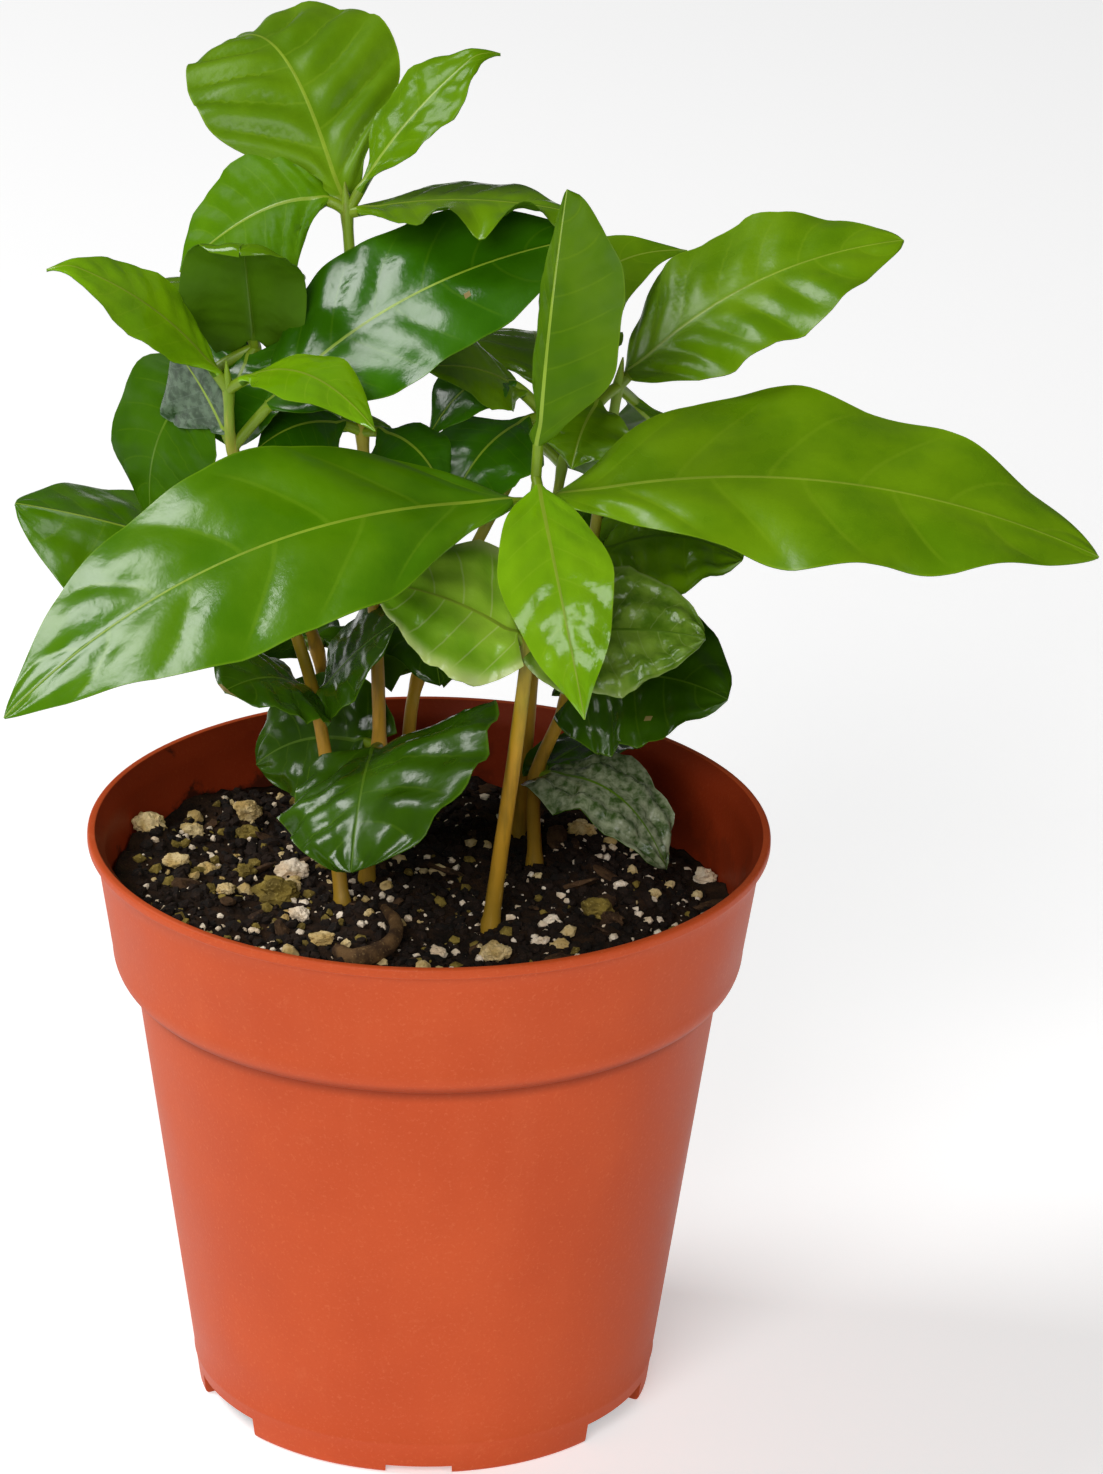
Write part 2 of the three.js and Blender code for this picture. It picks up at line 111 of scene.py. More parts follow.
def blendColours(tree, share, first, second):
    node = put(tree, "ShaderNodeMix", {"data_type": "RGBA"})
    feed(tree, share, node.inputs[0])
    feed(tree, first, node.inputs[6])  # 6, 7 and 2 are this node's colour sockets
    feed(tree, second, node.inputs[7])
    return node.outputs[2]


def grain(tree, place, scale, detail=3.0, rough=0.55, stretch=None):
    if stretch:
        place = put(tree, "ShaderNodeMapping", Vector=place, Scale=stretch).outputs[0]
    node = put(tree, "ShaderNodeTexNoise", Vector=place, Scale=scale, Detail=detail, Roughness=rough)
    return node.outputs[0]


def paintedValue(tree, name):
    return put(tree, "ShaderNodeAttribute", {"attribute_name": name}).outputs["Fac"]


def namedValue(tree, name):
    return put(tree, "GeometryNodeInputNamedAttribute", {"data_type": "FLOAT"}, Name=name).outputs[0]


def linear(value):
    share = value / 255
    return share / 12.92 if share <= 0.04045 else ((share + 0.055) / 1.055) ** 2.4


def paint(colour):
    return (*(linear(value) for value in colour), 1.0)


def freshMaterial(name, **values):
    material = bpy.data.materials.new(name)
    material.use_nodes = True
    tree = material.node_tree
    shade = tree.nodes["Principled BSDF"]
    for socket, value in values.items():
        shade.inputs[socket.replace("_", " ")].default_value = value
    place = tree.nodes.new("ShaderNodeTexCoord").outputs["Object"]
    return material, tree, shade, place


def colourWith(tree, shade, colour):
    tree.links.new(colour, shade.inputs["Base Color"])


def relief(tree, shade, height, strength, distance):
    bump = put(tree, "ShaderNodeBump", Strength=strength, Distance=distance, Height=height)
    tree.links.new(bump.outputs[0], shade.inputs["Normal"])


# Small helpers for meshes and objects

def smooth(low, high, value):
    share = np.clip((value - low) / (high - low), 0, 1)
    return share * share * (3 - 2 * share)


def link(thing):
    bpy.context.scene.collection.objects.link(thing)


def plainMesh(name, vertices, faces):
    mesh = bpy.data.meshes.new(name)
    mesh.from_pydata(vertices, [], faces)
    return mesh


def writeValues(mesh, label, numbers):
    layer = mesh.attributes.new(label, "FLOAT", "POINT")
    layer.data.foreach_set("value", np.asarray(numbers, np.float32))


# Camera, light and floor

view = dict(target=(19.06, 0, 111.87), distance=1200, elevation=23, roll=1.0, lens=186.4, sensor=36,
            clip=(0.05, 50))


def makeCamera():
    lift = math.radians(view["elevation"])
    turn = math.radians(view["roll"])
    back = Vector((0, -math.cos(lift), math.sin(lift)))
    right = Vector((1, 0, 0))
    upward = Vector((0, math.sin(lift), math.cos(lift)))
    across = right * math.cos(turn) + upward * math.sin(turn)
    over = upward * math.cos(turn) - right * math.sin(turn)
    data = bpy.data.cameras.new("camera")
    data.lens = view["lens"]
    data.sensor_width = view["sensor"]
    data.clip_start, data.clip_end = view["clip"]
    camera = bpy.data.objects.new("camera", data)
    place = Vector(view["target"]) * mm + back * view["distance"] * mm
    turned = Matrix((across, over, back)).transposed().to_4x4()
    camera.matrix_world = Matrix.Translation(place) @ turned
    link(camera)
    bpy.context.scene.camera = camera


lamps = dict(
    left=dict(place=(-1.2, 0.14, 1.38), size=0.75, power=20),
    front=dict(place=(-0.4, -1.4, 1.0), size=0.8, power=16),
    right=dict(place=(0.95, -1.0, 1.05), size=0.55, power=4),
)
studio = dict(aim=(0.0, 0.0, 0.11), worldStrength=0.06, floorHalf=6.0, floorTone=0.86, floorGlow=0.42)


def makeLight():
    aim = Vector(studio["aim"])
    for name, lamp in lamps.items():
        data = bpy.data.lights.new(name + "Light", "AREA")
        data.size = lamp["size"]
        data.energy = lamp["power"]
        light = bpy.data.objects.new(name + "Light", data)
        light.location = lamp["place"]
        light.rotation_euler = (aim - light.location).to_track_quat("-Z", "Y").to_euler()
        link(light)
    world = bpy.data.worlds.new("studio")
    world.use_nodes = True
    backdrop = world.node_tree.nodes["Background"].inputs
    backdrop["Color"].default_value = (1, 1, 1, 1)
    backdrop["Strength"].default_value = studio["worldStrength"]
    bpy.context.scene.world = world
    bpy.context.scene.view_settings.view_transform = "Standard"


def makeFloor():
    half = studio["floorHalf"]
    tone = studio["floorTone"]
    corners = [(-half, -half, 0), (half, -half, 0), (half, half, 0), (-half, half, 0)]
    mesh = plainMesh("floor", corners, [(0, 1, 2, 3)])
    material, *_ = freshMaterial(
        "paleFloor", Roughness=0.9, Specular_IOR_Level=0.1, Base_Color=(tone, tone, tone, 1),
        Emission_Color=(1, 1, 1, 1), Emission_Strength=studio["floorGlow"])
    mesh.materials.append(material)
    floor = bpy.data.objects.new("floor", mesh)
    link(floor)


makeCamera()
makeLight()
makeFloor()
print("camera, light and floor ready")


def addPiece(name, mesh, nodes=()):
    piece = bpy.data.objects.new(name, mesh)
    link(piece)
    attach(piece, "root")
    if nodes:
        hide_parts(*nodes)


def plainResult(name, carrier):
    # the carrier's mesh with its modifiers applied
    ready = carrier.evaluated_get(bpy.context.evaluated_depsgraph_get())
    mesh = bpy.data.meshes.new_from_object(ready)
    mesh.name = name
    bpy.data.objects.remove(carrier)
    return mesh


def bakeTree(name, source, tree, inputs):
    # runs a node tree over a mesh and returns the plain result
    carrier = bpy.data.objects.new(name, source)
    link(carrier)
    modifier = carrier.modifiers.new(name, "NODES")
    modifier.node_group = tree
    for item in tree.interface.items_tree:
        if item.in_out == "INPUT" and item.name in inputs:
            modifier[item.identifier] = inputs[item.name]
    carrier.data.update()
    return plainResult(name, carrier)


def openTree(name, inputs):
    tree = bpy.data.node_groups.new(name, "GeometryNodeTree")
    tree.interface.new_socket("Geometry", in_out="INPUT", socket_type="NodeSocketGeometry")
    tree.interface.new_socket("Geometry", in_out="OUTPUT", socket_type="NodeSocketGeometry")
    for label, kind, value in inputs:
        socket = tree.interface.new_socket(label, in_out="INPUT", socket_type="NodeSocket" + kind)
        if value is not None:
            socket.default_value = value
    start = tree.nodes.new("NodeGroupInput").outputs
    return tree, start


def closeTree(tree, geometry, material):
    realized = put(tree, "GeometryNodeRealizeInstances", Geometry=geometry).outputs[0]
    painted = put(tree, "GeometryNodeSetMaterial", Geometry=realized, Material=material).outputs[0]
    tree.links.new(painted, tree.nodes.new("NodeGroupOutput").inputs[0])


# Pot, in millimetres

pot = dict(
    height=96, footRadius=36.5, footRound=0.8, bodyRadius=46.5, shoulderBottom=72, shoulderTop=77,
    collarRadius=50.1, collarTopRadius=52.7, lipRadius=54, lipInner=52.7, lipHeight=1.7, lipRound=0.5,
    lipFillet=((0, 0.35), (0.3, 0.05)), innerRound=0.3, wall=1.3, floor=2,
    mouldLine=5.6, mouldLineHalf=0.35, mouldLineProud=0.12, underRings=(12, 24), floorRing=20,
    segments=192, shoulderSteps=14, roundSteps=4, bodySteps=14, collarSteps=6, innerCollarSteps=8,
    innerBodySteps=6, lipRings=3, sharpAngle=40,
)
slots = dict(
    drain=dict(width=17, height=3.4, inner=30, outer=40, firstAngle=-30),
    notch=dict(width=10.5, height=1.4, inner=32, outer=40, firstAngle=-90),
    count=3,
)


def quarterRound(centre, radius, start, end, steps):
    angles = np.radians(np.linspace(start, end, steps + 1))
    return [(centre[0] + radius * math.cos(a), centre[1] + radius * math.sin(a)) for a in angles]


def shoulderCurve(inset):
    points = []
    for i in range(pot["shoulderSteps"] + 1):
        angle = i / pot["shoulderSteps"] * math.pi / 2
        out = pot["bodyRadius"] + (pot["collarRadius"] - pot["bodyRadius"]) * math.sin(angle)
        high = pot["shoulderTop"] - (pot["shoulderTop"] - pot["shoulderBottom"]) * math.cos(angle)
        points.append((out - inset, high))
    return points


def wallRadius(height):
    # outside of the tapered body
    share = (height - pot["footRound"]) / (pot["shoulderBottom"] - pot["footRound"])
    return pot["footRadius"] + (pot["bodyRadius"] - pot["footRadius"]) * share


def straight(first, last, steps):
    return [(first[0] + (last[0] - first[0]) * i / steps, first[1] + (last[1] - first[1]) * i / steps)
            for i in range(1, steps)]


def potProfile():
    # the outside from below up to the lip, and the inside from the lip down to the floor
    steps = pot["roundSteps"]
    lipBottom = pot["height"] - pot["lipHeight"]
    foot = (pot["footRadius"] - pot["footRound"], pot["footRound"])
    line = pot["mouldLine"]
    edge = pot["mouldLineHalf"]
    outside = [(radius, 0) for radius in pot["underRings"]]
    outside += quarterRound(foot, pot["footRound"], -90, 0, steps)
    outside += [(wallRadius(high), high) for high in (slots["drain"]["height"], line - edge)]
    outside += [(wallRadius(line) + pot["mouldLineProud"], line), (wallRadius(line + edge), line + edge)]
    outside += straight(outside[-1], (pot["bodyRadius"], pot["shoulderBottom"]), pot["bodySteps"])
    outside += shoulderCurve(0)
    fillet = [(pot["collarTopRadius"] + out, lipBottom - down) for out, down in pot["lipFillet"]]
    outside += straight(outside[-1], fillet[0], pot["collarSteps"]) + fillet
    rounding = pot["lipRound"]
    out = pot["lipRadius"] - rounding
    outside += quarterRound((out, lipBottom + rounding), rounding, -90, 0, steps)
    outside += quarterRound((out, pot["height"] - rounding), rounding, 0, 90, steps)
    rounding = pot["innerRound"]
    inside = quarterRound((pot["lipInner"] + rounding, pot["height"] - rounding), rounding, 90, 180, steps)
    inside += [(pot["collarTopRadius"] - pot["wall"], lipBottom)]
    shoulder = shoulderCurve(pot["wall"])[::-1]
    inside += straight(inside[-1], shoulder[0], pot["innerCollarSteps"]) + shoulder
    corner = (pot["footRadius"] - pot["wall"], pot["floor"])
    inside += straight(inside[-1], corner, pot["innerBodySteps"])
    inside += [corner, (pot["floorRing"], pot["floor"])]
    return outside, inside


def latheMesh(name, profile, segments, bottom, top):
    # turns a profile about Z, with one point on the axis at each end
    angles = np.arange(segments) * 2 * math.pi / segments
    rings = [np.column_stack((radius * np.cos(angles), radius * np.sin(angles), np.full(segments, high)))
             for radius, high in profile]
    vertices = np.vstack(rings + [np.array([(0, 0, bottom), (0, 0, top)])]) * mm
    steps = [(i, (i + 1) % segments) for i in range(segments)]
    pole = len(profile) * segments
    last = pole - segments
    faces = [(pole, b, a) for a, b in steps]
    for low in range(0, last, segments):
        high = low + segments
        faces += [(low + a, low + b, high + b, high + a) for a, b in steps]
    faces += [(pole + 1, last + a, last + b) for a, b in steps]
    return plainMesh(name, vertices.tolist(), faces)


def slotCutters():
    vertices = []
    faces = []
    sides = ((0, 3, 2, 1), (4, 5, 6, 7), (0, 1, 5, 4), (1, 2, 6, 5), (2, 3, 7, 6), (3, 0, 4, 7))
    for slot in (slots["drain"], slots["notch"]):
        half = slot["width"] / 2
        inner = slot["inner"]
        outer = slot["outer"]
        outline = ((inner, -half), (outer, -half), (outer, half), (inner, half))
        for turn in range(slots["count"]):
            spin = Matrix.Rotation(math.radians(slot["firstAngle"] + turn * 360 / slots["count"]), 3, "Z")
            faces += [tuple(len(vertices) + i for i in side) for side in sides]
            for high in (-slot["height"], slot["height"]):
                vertices += [spin @ Vector((out, wide, high)) * mm for out, wide in outline]
    return plainMesh("slotCutters", vertices, faces)


plastic = dict(
    outside=((194, 80, 38), (186, 73, 32), (206, 106, 66)),
    # the inside is the same plastic, darker than the outside as painted shade
    inside=((164, 57, 23), (152, 50, 18), (176, 74, 40)),
    streakShare=0.1, scuffShare=0.35,
)
# painted shade: a dark band in the crease under the shoulder
creaseShade = dict(fade=2.5, below=0.3, above=0.8, depth=0.5, colour=(112, 36, 14))
smear = dict(heights=(92.5, 82), across=(20, -45), least=0.25, lift=0.28, edge=(0.62, 0.74), depth=0.9,
             colour=(46, 27, 17))


def potFinish(name, colours):
    base, shadow, pale = (paint(colour) for colour in colours)
    material, tree, shade, place = freshMaterial(name, Roughness=0.5, Specular_IOR_Level=0.16)
    cloud = grain(tree, place, scale=38, detail=4)
    streak = fit(tree, grain(tree, place, scale=120, stretch=(1, 1, 0.08)), 0.5, 0.8)
    scuff = fit(tree, grain(tree, place, scale=160, detail=5, rough=0.7), 0.62, 0.8)
    grit = grain(tree, place, scale=1700, rough=0.7)
    colour = blendColours(tree, fit(tree, cloud, 0.3, 0.7), shadow, base)
    colour = blendColours(tree, times(tree, streak, plastic["streakShare"]), colour, pale)
    colour = blendColours(tree, times(tree, scuff, plastic["scuffShare"]), colour, pale)
    colour = blendColours(tree, fit(tree, grit, 0.54, 0.72, 0, 0.4), colour, pale)
    colour = blendColours(tree, fit(tree, grit, 0.44, 0.3, 0, 0.35), colour, shadow)
    tree.links.new(fit(tree, cloud, 0.2, 0.8, 0.42, 0.58), shade.inputs["Roughness"])
    relief(tree, shade, grit, 0.2, 0.0002)
    return material, tree, shade, place, colour


def outerFinish():
    # with painted shade: a dark line in the crease under the shoulder
    material, tree, shade, place, colour = potFinish("potPlastic", plastic["outside"])
    high = put(tree, "ShaderNodeSeparateXYZ", Vector=place).outputs[2]
    at = pot["shoulderBottom"]
    below = fit(tree, high, (at - creaseShade["fade"]) * mm, (at - creaseShade["below"]) * mm, 0, creaseShade["depth"])
    above = fit(tree, high, (at + creaseShade["fade"]) * mm, (at + creaseShade["above"]) * mm)
    dark = paint(creaseShade["colour"])
    colourWith(tree, shade, blendColours(tree, times(tree, below, above), colour, dark))
    return material


def innerFinish():
    # with soil smeared up the inside, most at the left, over colours darkened as painted shade
    material, tree, shade, place, colour = potFinish("potInsideShaded", plastic["inside"])
    parts = put(tree, "ShaderNodeSeparateXYZ", Vector=place).outputs
    low = fit(tree, parts[2], *(height * mm for height in smear["heights"]))
    left = fit(tree, parts[0], *(x * mm for x in smear["across"]), smear["least"])
    patches = grain(tree, place, scale=140, detail=5, rough=0.65)
    patches = fit(tree, sums(tree, "ADD", patches, times(tree, low, smear["lift"])), *smear["edge"])
    share = times(tree, times(tree, patches, left), smear["depth"])
    colourWith(tree, shade, blendColours(tree, share, colour, paint(smear["colour"])))
    return material


def makePot():
    outside, inside = potProfile()
    shell = latheMesh("potShell", outside + inside, pot["segments"], 0, pot["floor"])
    shell.materials.append(outerFinish())
    shell.materials.append(innerFinish())
    innerStart = pot["segments"] * (len(outside) + pot["lipRings"])
    for index, face in enumerate(shell.polygons):
        face.material_index = 1 if index >= innerStart else 0
    carrier = bpy.data.objects.new("potShell", shell)
    cutter = bpy.data.objects.new("slotCutters", slotCutters())
    link(carrier)
    link(cutter)
    cut = carrier.modifiers.new("slots", "BOOLEAN")
    cut.operation = "DIFFERENCE"
    cut.solver = "EXACT"
    cut.object = cutter
    mesh = plainResult("potBody", carrier)
    bpy.data.objects.remove(cutter)
    mesh.shade_smooth()
    mesh.set_sharp_from_angle(angle=math.radians(pot["sharpAngle"]))
    addPiece("potBody", mesh, ["pot"])
    print("pot made,", len(mesh.polygons), "faces")


makePot()


# Soil and what lies in it, in millimetres

soil = dict(
    top=84, topBand=1, levelRadius=28, bankRadius=46, bankLeft=3.6, bankFront=0.8, wallGap=0.1,
    clump=(1.5, 0.085), crumb=(0.7, 0.32), lumpNoise=(0.8, 2.0, 3), seed=4,
    rings=64, ringPower=0.9, segments=180, bedSteps=46,
    dark=(16, 9, 4), light=(54, 34, 18), speck=(150, 126, 88),
)


def soilHeight(x, y):
    # level round the stems, banked against the wall, lumpy all over
    share = float(smooth(soil["levelRadius"], soil["bankRadius"], math.hypot(x, y)))
    bank = share * -(soil["bankLeft"] * x + soil["bankFront"] * y) / soil["bankRadius"]
    lump = 0
    for height, scale in (soil["clump"], soil["crumb"]):
        lump += height * noise.fractal(Vector((x * scale, y * scale, soil["seed"])), *soil["lumpNoise"])
    return soil["top"] + bank + lump


def soilFinish():
    material, tree, shade, place = freshMaterial("darkSoil", Roughness=0.95, Specular_IOR_Level=0.2)
    coarse = grain(tree, place, scale=260, detail=6, rough=0.7)
    fine = grain(tree, place, scale=1400, detail=4, rough=0.7)
    colour = blendColours(tree, fit(tree, coarse, 0.3, 0.75), paint(soil["dark"]), paint(soil["light"]))
    colour = blendColours(tree, fit(tree, fine, 0.66, 0.74, 0, 0.6), colour, paint(soil["speck"]))
    colourWith(tree, shade, colour)
    relief(tree, shade, fine, 0.8, 0.0006)
    return material


def makeSoilBody(material):
    # one closed body: a lumpy top, and a side that follows the inside of the pot
    inset = pot["wall"] + soil["wallGap"]
    bottom = pot["floor"] + soil["wallGap"]
    collarHeight = pot["height"] - pot["lipHeight"] - pot["shoulderTop"]
    slope = (pot["collarTopRadius"] - pot["collarRadius"]) / collarHeight
    rim = pot["collarRadius"] + slope * (soil["top"] - pot["shoulderTop"]) - inset
    sides = [(pot["footRadius"] - inset, bottom), (pot["bodyRadius"] - inset, pot["shoulderBottom"])]
    sides += [(pot["collarRadius"] - inset, pot["shoulderTop"])]
    shares = [(1 - i / soil["rings"]) ** soil["ringPower"] for i in range(soil["rings"])]
    tops = [(rim * share, soil["top"]) for share in shares]
    mesh = latheMesh("soilBody", sides + tops, soil["segments"], bottom, soil["top"])
    places = np.zeros(len(mesh.vertices) * 3)
    mesh.vertices.foreach_get("co", places)
    places = places.reshape(-1, 3)
    for point in places:
        if point[2] > (soil["top"] - soil["topBand"]) * mm:
            point[2] = soilHeight(point[0] / mm, point[1] / mm) * mm
            reach = math.hypot(point[0], point[1]) / mm
            limit = rim + slope * (point[2] / mm - soil["top"])
            if reach > limit:
                point[:2] *= limit / reach
    mesh.vertices.foreach_set("co", places.ravel())
    mesh.materials.append(material)
    mesh.shade_smooth()
    addPiece("soilBody", mesh, ["soil"])


def soilBed(thickness):
    # the soil's top alone, with how thickly grains lie on it
    steps = soil["bedSteps"]
    reach = soil["bankRadius"]
    axis = np.linspace(-reach, reach, steps + 1)
    points = [(x, y) for y in axis for x in axis]
    faces = []
    for row in range(steps):
        for column in range(steps):
            a = row * (steps + 1) + column
            middle = (axis[column] + axis[column + 1]) / 2, (axis[row] + axis[row + 1]) / 2
            if math.hypot(*middle) < reach:
                faces.append((a, a + 1, a + steps + 2, a + steps + 1))
    mesh = plainMesh("soilBed", [(x * mm, y * mm, soilHeight(x, y) * mm) for x, y in points], faces)
    writeValues(mesh, "share", [thickness(x, y) for x, y in points])
    return mesh


scatter = dict(sizeSalt=11, widthSalt=12, turnSalt=13, smallPower=2.2, width=(0.75, 1.1), tilt=0.6,
               turn=6.283, lumpScale=1300.0)


def chance(tree, seed, salt, low, high, kind="FLOAT"):
    node = put(tree, "FunctionNodeRandomValue", {"data_type": kind})
    start, result = (0, 0) if kind == "FLOAT_VECTOR" else (2, 1)  # the sockets of this kind of value
    feed(tree, low, node.inputs[start])
    feed(tree, high, node.inputs[start + 1])
    feed(tree, sums(tree, "ADD", seed, float(salt)), node.inputs["Seed"])
    return node.outputs[result]


def grainTree():
    tree, start = openTree("soilGrains", [
        ("Density", "Float", 10000.0), ("Seed", "Int", 1), ("Smallest", "Float", 0.0005),
        ("Largest", "Float", 0.001), ("Flatness", "Float", 0.8), ("Length", "Float", 1.2),
        ("Lumps", "Float", 0.4), ("Fineness", "Int", 1), ("Sink", "Float", 0.2),
        ("Material", "Material", None)])
    seed = start["Seed"]
    density = times(tree, start["Density"], namedValue(tree, "share"))
    spots = put(tree, "GeometryNodeDistributePointsOnFaces", Mesh=start["Geometry"], Density=density,
                Seed=seed).outputs["Points"]
    shape = put(tree, "GeometryNodeMeshIcoSphere", Radius=1.0, Subdivisions=start["Fineness"]).outputs[0]
    # small grains are more common than large ones
    pick = sums(tree, "POWER", chance(tree, seed, scatter["sizeSalt"], 0.0, 1.0), scatter["smallPower"])
    span = sums(tree, "SUBTRACT", start["Largest"], start["Smallest"])
    size = sums(tree, "ADD", start["Smallest"], times(tree, pick, span))
    width = chance(tree, seed, scatter["widthSalt"], *scatter["width"])
    spread = put(tree, "ShaderNodeCombineXYZ", X=start["Length"], Y=width, Z=start["Flatness"]).outputs[0]
    tilt = scatter["tilt"]
    turn = chance(tree, seed, scatter["turnSalt"], (-tilt, -tilt, 0.0), (tilt, tilt, scatter["turn"]),
                  "FLOAT_VECTOR")
    loose = put(tree, "GeometryNodeInstanceOnPoints", Points=spots, Instance=shape, Rotation=turn,
                Scale=scaleVector(tree, spread, size)).outputs[0]
    raised = put(tree, "ShaderNodeCombineXYZ", Z=times(tree, size, start["Sink"])).outputs[0]
    moved = put(tree, "GeometryNodeTranslateInstances", Instances=loose, Translation=raised,
                Local_Space=False).outputs[0]
    solid = put(tree, "GeometryNodeRealizeInstances", Geometry=moved).outputs[0]
    where = tree.nodes.new("GeometryNodeInputPosition").outputs[0]
    bumps = put(tree, "ShaderNodeTexNoise", Vector=where, Scale=scatter["lumpScale"], Detail=2.0).outputs[1]
    push = scaleVector(tree, vectorSums(tree, "SUBTRACT", bumps, (0.5, 0.5, 0.5)), start["Lumps"])
    lumpy = put(tree, "GeometryNodeSetPosition", Geometry=solid, Offset=push).outputs[0]
    flat = put(tree, "GeometryNodeSetShadeSmooth", Geometry=lumpy, Shade_Smooth=False).outputs[0]
    closeTree(tree, flat, start["Material"])
    return tree


def grainFinish(name, colours):
    base, shadow, speck = (paint(colour) for colour in colours)
    material, tree, shade, place = freshMaterial(name, Roughness=0.85, Specular_IOR_Level=0.25)
    cloud = grain(tree, place, scale=300)
    pits = grain(tree, place, scale=2200, rough=0.7)
    colour = blendColours(tree, fit(tree, cloud, 0.35, 0.65), shadow, base)
    colour = blendColours(tree, fit(tree, pits, 0.56, 0.7, 0, 0.7), colour, speck)
    colourWith(tree, shade, colour)
    relief(tree, shade, pits, 0.5, 0.0004)
    return material


leftBank = dict(least=0.25, ends=(12, -30), slant=0.35)


def evenly(x, y):
    return 1.0


def mostlyLeft(x, y):
    share = smooth(*leftBank["ends"], x + leftBank["slant"] * y)
    return float(leftBank["least"] + (1 - leftBank["least"]) * share)


grains = dict(
    soilCrumbs=dict(count=430000, seed=3, size=(0.3, 1.35), flatness=0.75, length=1.15, lumps=0.9,
                    fineness=1, sink=0.1, colours=((32, 19, 10), (13, 7, 3), (64, 43, 27)), lie=evenly),
    barkBits=dict(count=9000, seed=8, size=(0.8, 2.2), flatness=0.28, length=1.9, lumps=1.1, fineness=2,
                  sink=0.25, colours=((78, 54, 32), (44, 27, 15), (110, 84, 52)), lie=evenly),
    perliteGrains=dict(count=105000, seed=21, size=(0.14, 0.85), flatness=0.8, length=1.2, lumps=0.8,
                       fineness=1, sink=0.35,
                       colours=((240, 224, 202), (214, 190, 158), (184, 158, 122)), lie=evenly),
    pumiceChunks=dict(count=22000, seed=34, size=(0.4, 1.7), flatness=0.8, length=1.15, lumps=1.3,
                      fineness=2, sink=0.35,
                      colours=((216, 192, 142), (182, 152, 92), (134, 110, 54)), lie=mostlyLeft),
    mossyBits=dict(count=66000, seed=55, size=(0.25, 1.2), flatness=0.75, length=1.2, lumps=1.1, fineness=1,
                   sink=0.3, colours=((134, 114, 48), (92, 76, 28), (176, 156, 88)), lie=mostlyLeft),
)

# the largest chunks, where the photograph has them: place, half size, and which grain they are
chunks = [
    (-45.0, 15.5, 2.3, "pumiceChunks"), (-30.0, 26.3, 2.0, "pumiceChunks"), (-29.5, 20.0, 1.7, "mossyBits"),
    (-38.5, 19.0, 1.6, "pumiceChunks"), (-40.5, 4.8, 1.7, "pumiceChunks"), (-35.5, 6.7, 1.5, "pumiceChunks"),
    (-29.5, 5.4, 1.6, "mossyBits"), (-22.0, 7.0, 2.3, "perliteGrains"), (-24.0, -1.8, 2.9, "mossyBits"),
    (-20.2, -9.0, 1.5, "perliteGrains"), (-16.3, -20.0, 1.6, "pumiceChunks"), (26.8, -5.3, 2.1, "mossyBits"),
    (29.0, -10.0, 1.6, "barkBits"), (19.7, -9.6, 1.2, "perliteGrains"), (44.0, 16.4, 1.6, "perliteGrains"),
    (1.8, -20.7, 1.1, "perliteGrains"), (11.0, -23.3, 2.0, "pumiceChunks"),
    (-32.0, -4.7, 1.2, "pumiceChunks"), (30.5, 5.0, 1.0, "perliteGrains"), (35.7, 3.5, 1.0, "pumiceChunks"),
    (17.6, -16.8, 1.0, "perliteGrains"), (20.9, -18.4, 1.3, "pumiceChunks"),
    (24.0, 30.0, 1.9, "pumiceChunks"), (-2.0, 40.0, 2.1, "mossyBits"), (34.0, 26.0, 1.6, "pumiceChunks"),
]


stoneShape = dict(fineness=4, raised=0.42, stretch=(1.12, 0.95, 0.78), swell=0.34, swellScale=1.3,
                  swellNoise=(0.9, 2.0, 4), swellStep=7.1, facet=0.1, facetScale=2.2, facetStep=3.3)


def lumpyStone(place, half, seed):
    # one large chunk: a knobbly ball, wider than high, set into the soil
    stone = bpy.data.meshes.new("stone")
    shape = bmesh.new()
    bmesh.ops.create_icosphere(shape, subdivisions=stoneShape["fineness"], radius=1.0)
    middle = Vector((place[0], place[1], soilHeight(*place) + half * stoneShape["raised"])) * mm
    stretch = Vector(stoneShape["stretch"])
    swellShift = Vector((seed * stoneShape["swellStep"], 0, 0))
    facetShift = Vector((seed * stoneShape["facetStep"], 1.0, 0))
    for vertex in shape.verts:
        way = vertex.co.normalized()
        swell = noise.fractal(way * stoneShape["swellScale"] + swellShift, *stoneShape["swellNoise"])
        facet = noise.cell(way * stoneShape["facetScale"] + facetShift)
        size = 1 + stoneShape["swell"] * swell - stoneShape["facet"] * facet
        vertex.co = middle + Vector(way[i] * stretch[i] for i in range(3)) * size * half * mm
    shape.to_mesh(stone)
    shape.free()
    return stone


def joinMeshes(name, meshes):
    whole = bmesh.new()
    for mesh in meshes:
        whole.from_mesh(mesh)
    joined = bpy.data.meshes.new(name)
    whole.to_mesh(joined)
    whole.free()
    return joined


def makeGrains():
    tree = grainTree()
    for name, kind in grains.items():
        finish = grainFinish(name + "Finish", kind["colours"])
        smallest, largest = kind["size"]
        loose = bakeTree(name, soilBed(kind["lie"]), tree, {
            "Density": float(kind["count"]), "Seed": kind["seed"], "Smallest": smallest * mm,
            "Largest": largest * mm, "Flatness": kind["flatness"], "Length": kind["length"],
            "Lumps": kind["lumps"] * mm, "Fineness": kind["fineness"], "Sink": kind["sink"],
            "Material": finish})
        placed = [lumpyStone(c[:2], c[2], i) for i, c in enumerate(chunks) if c[3] == name]
        mesh = joinMeshes(name, [loose] + placed)
        mesh.materials.append(finish)
        addPiece(name, mesh)
        print(name, "made,", len(mesh.polygons), "faces")


makeSoilBody(soilFinish())
makeGrains()


# The seedlings: tip, width and bend of every leaf, in millimetres, close to those of the solids

def leaf(tip, width, **more):
    return dict(tip=tip, width=width, **more)


def seedLeaf(tip, width, **more):
    return dict(tip=tip, width=width, kind="seed", **{"tone": "seed", **more})


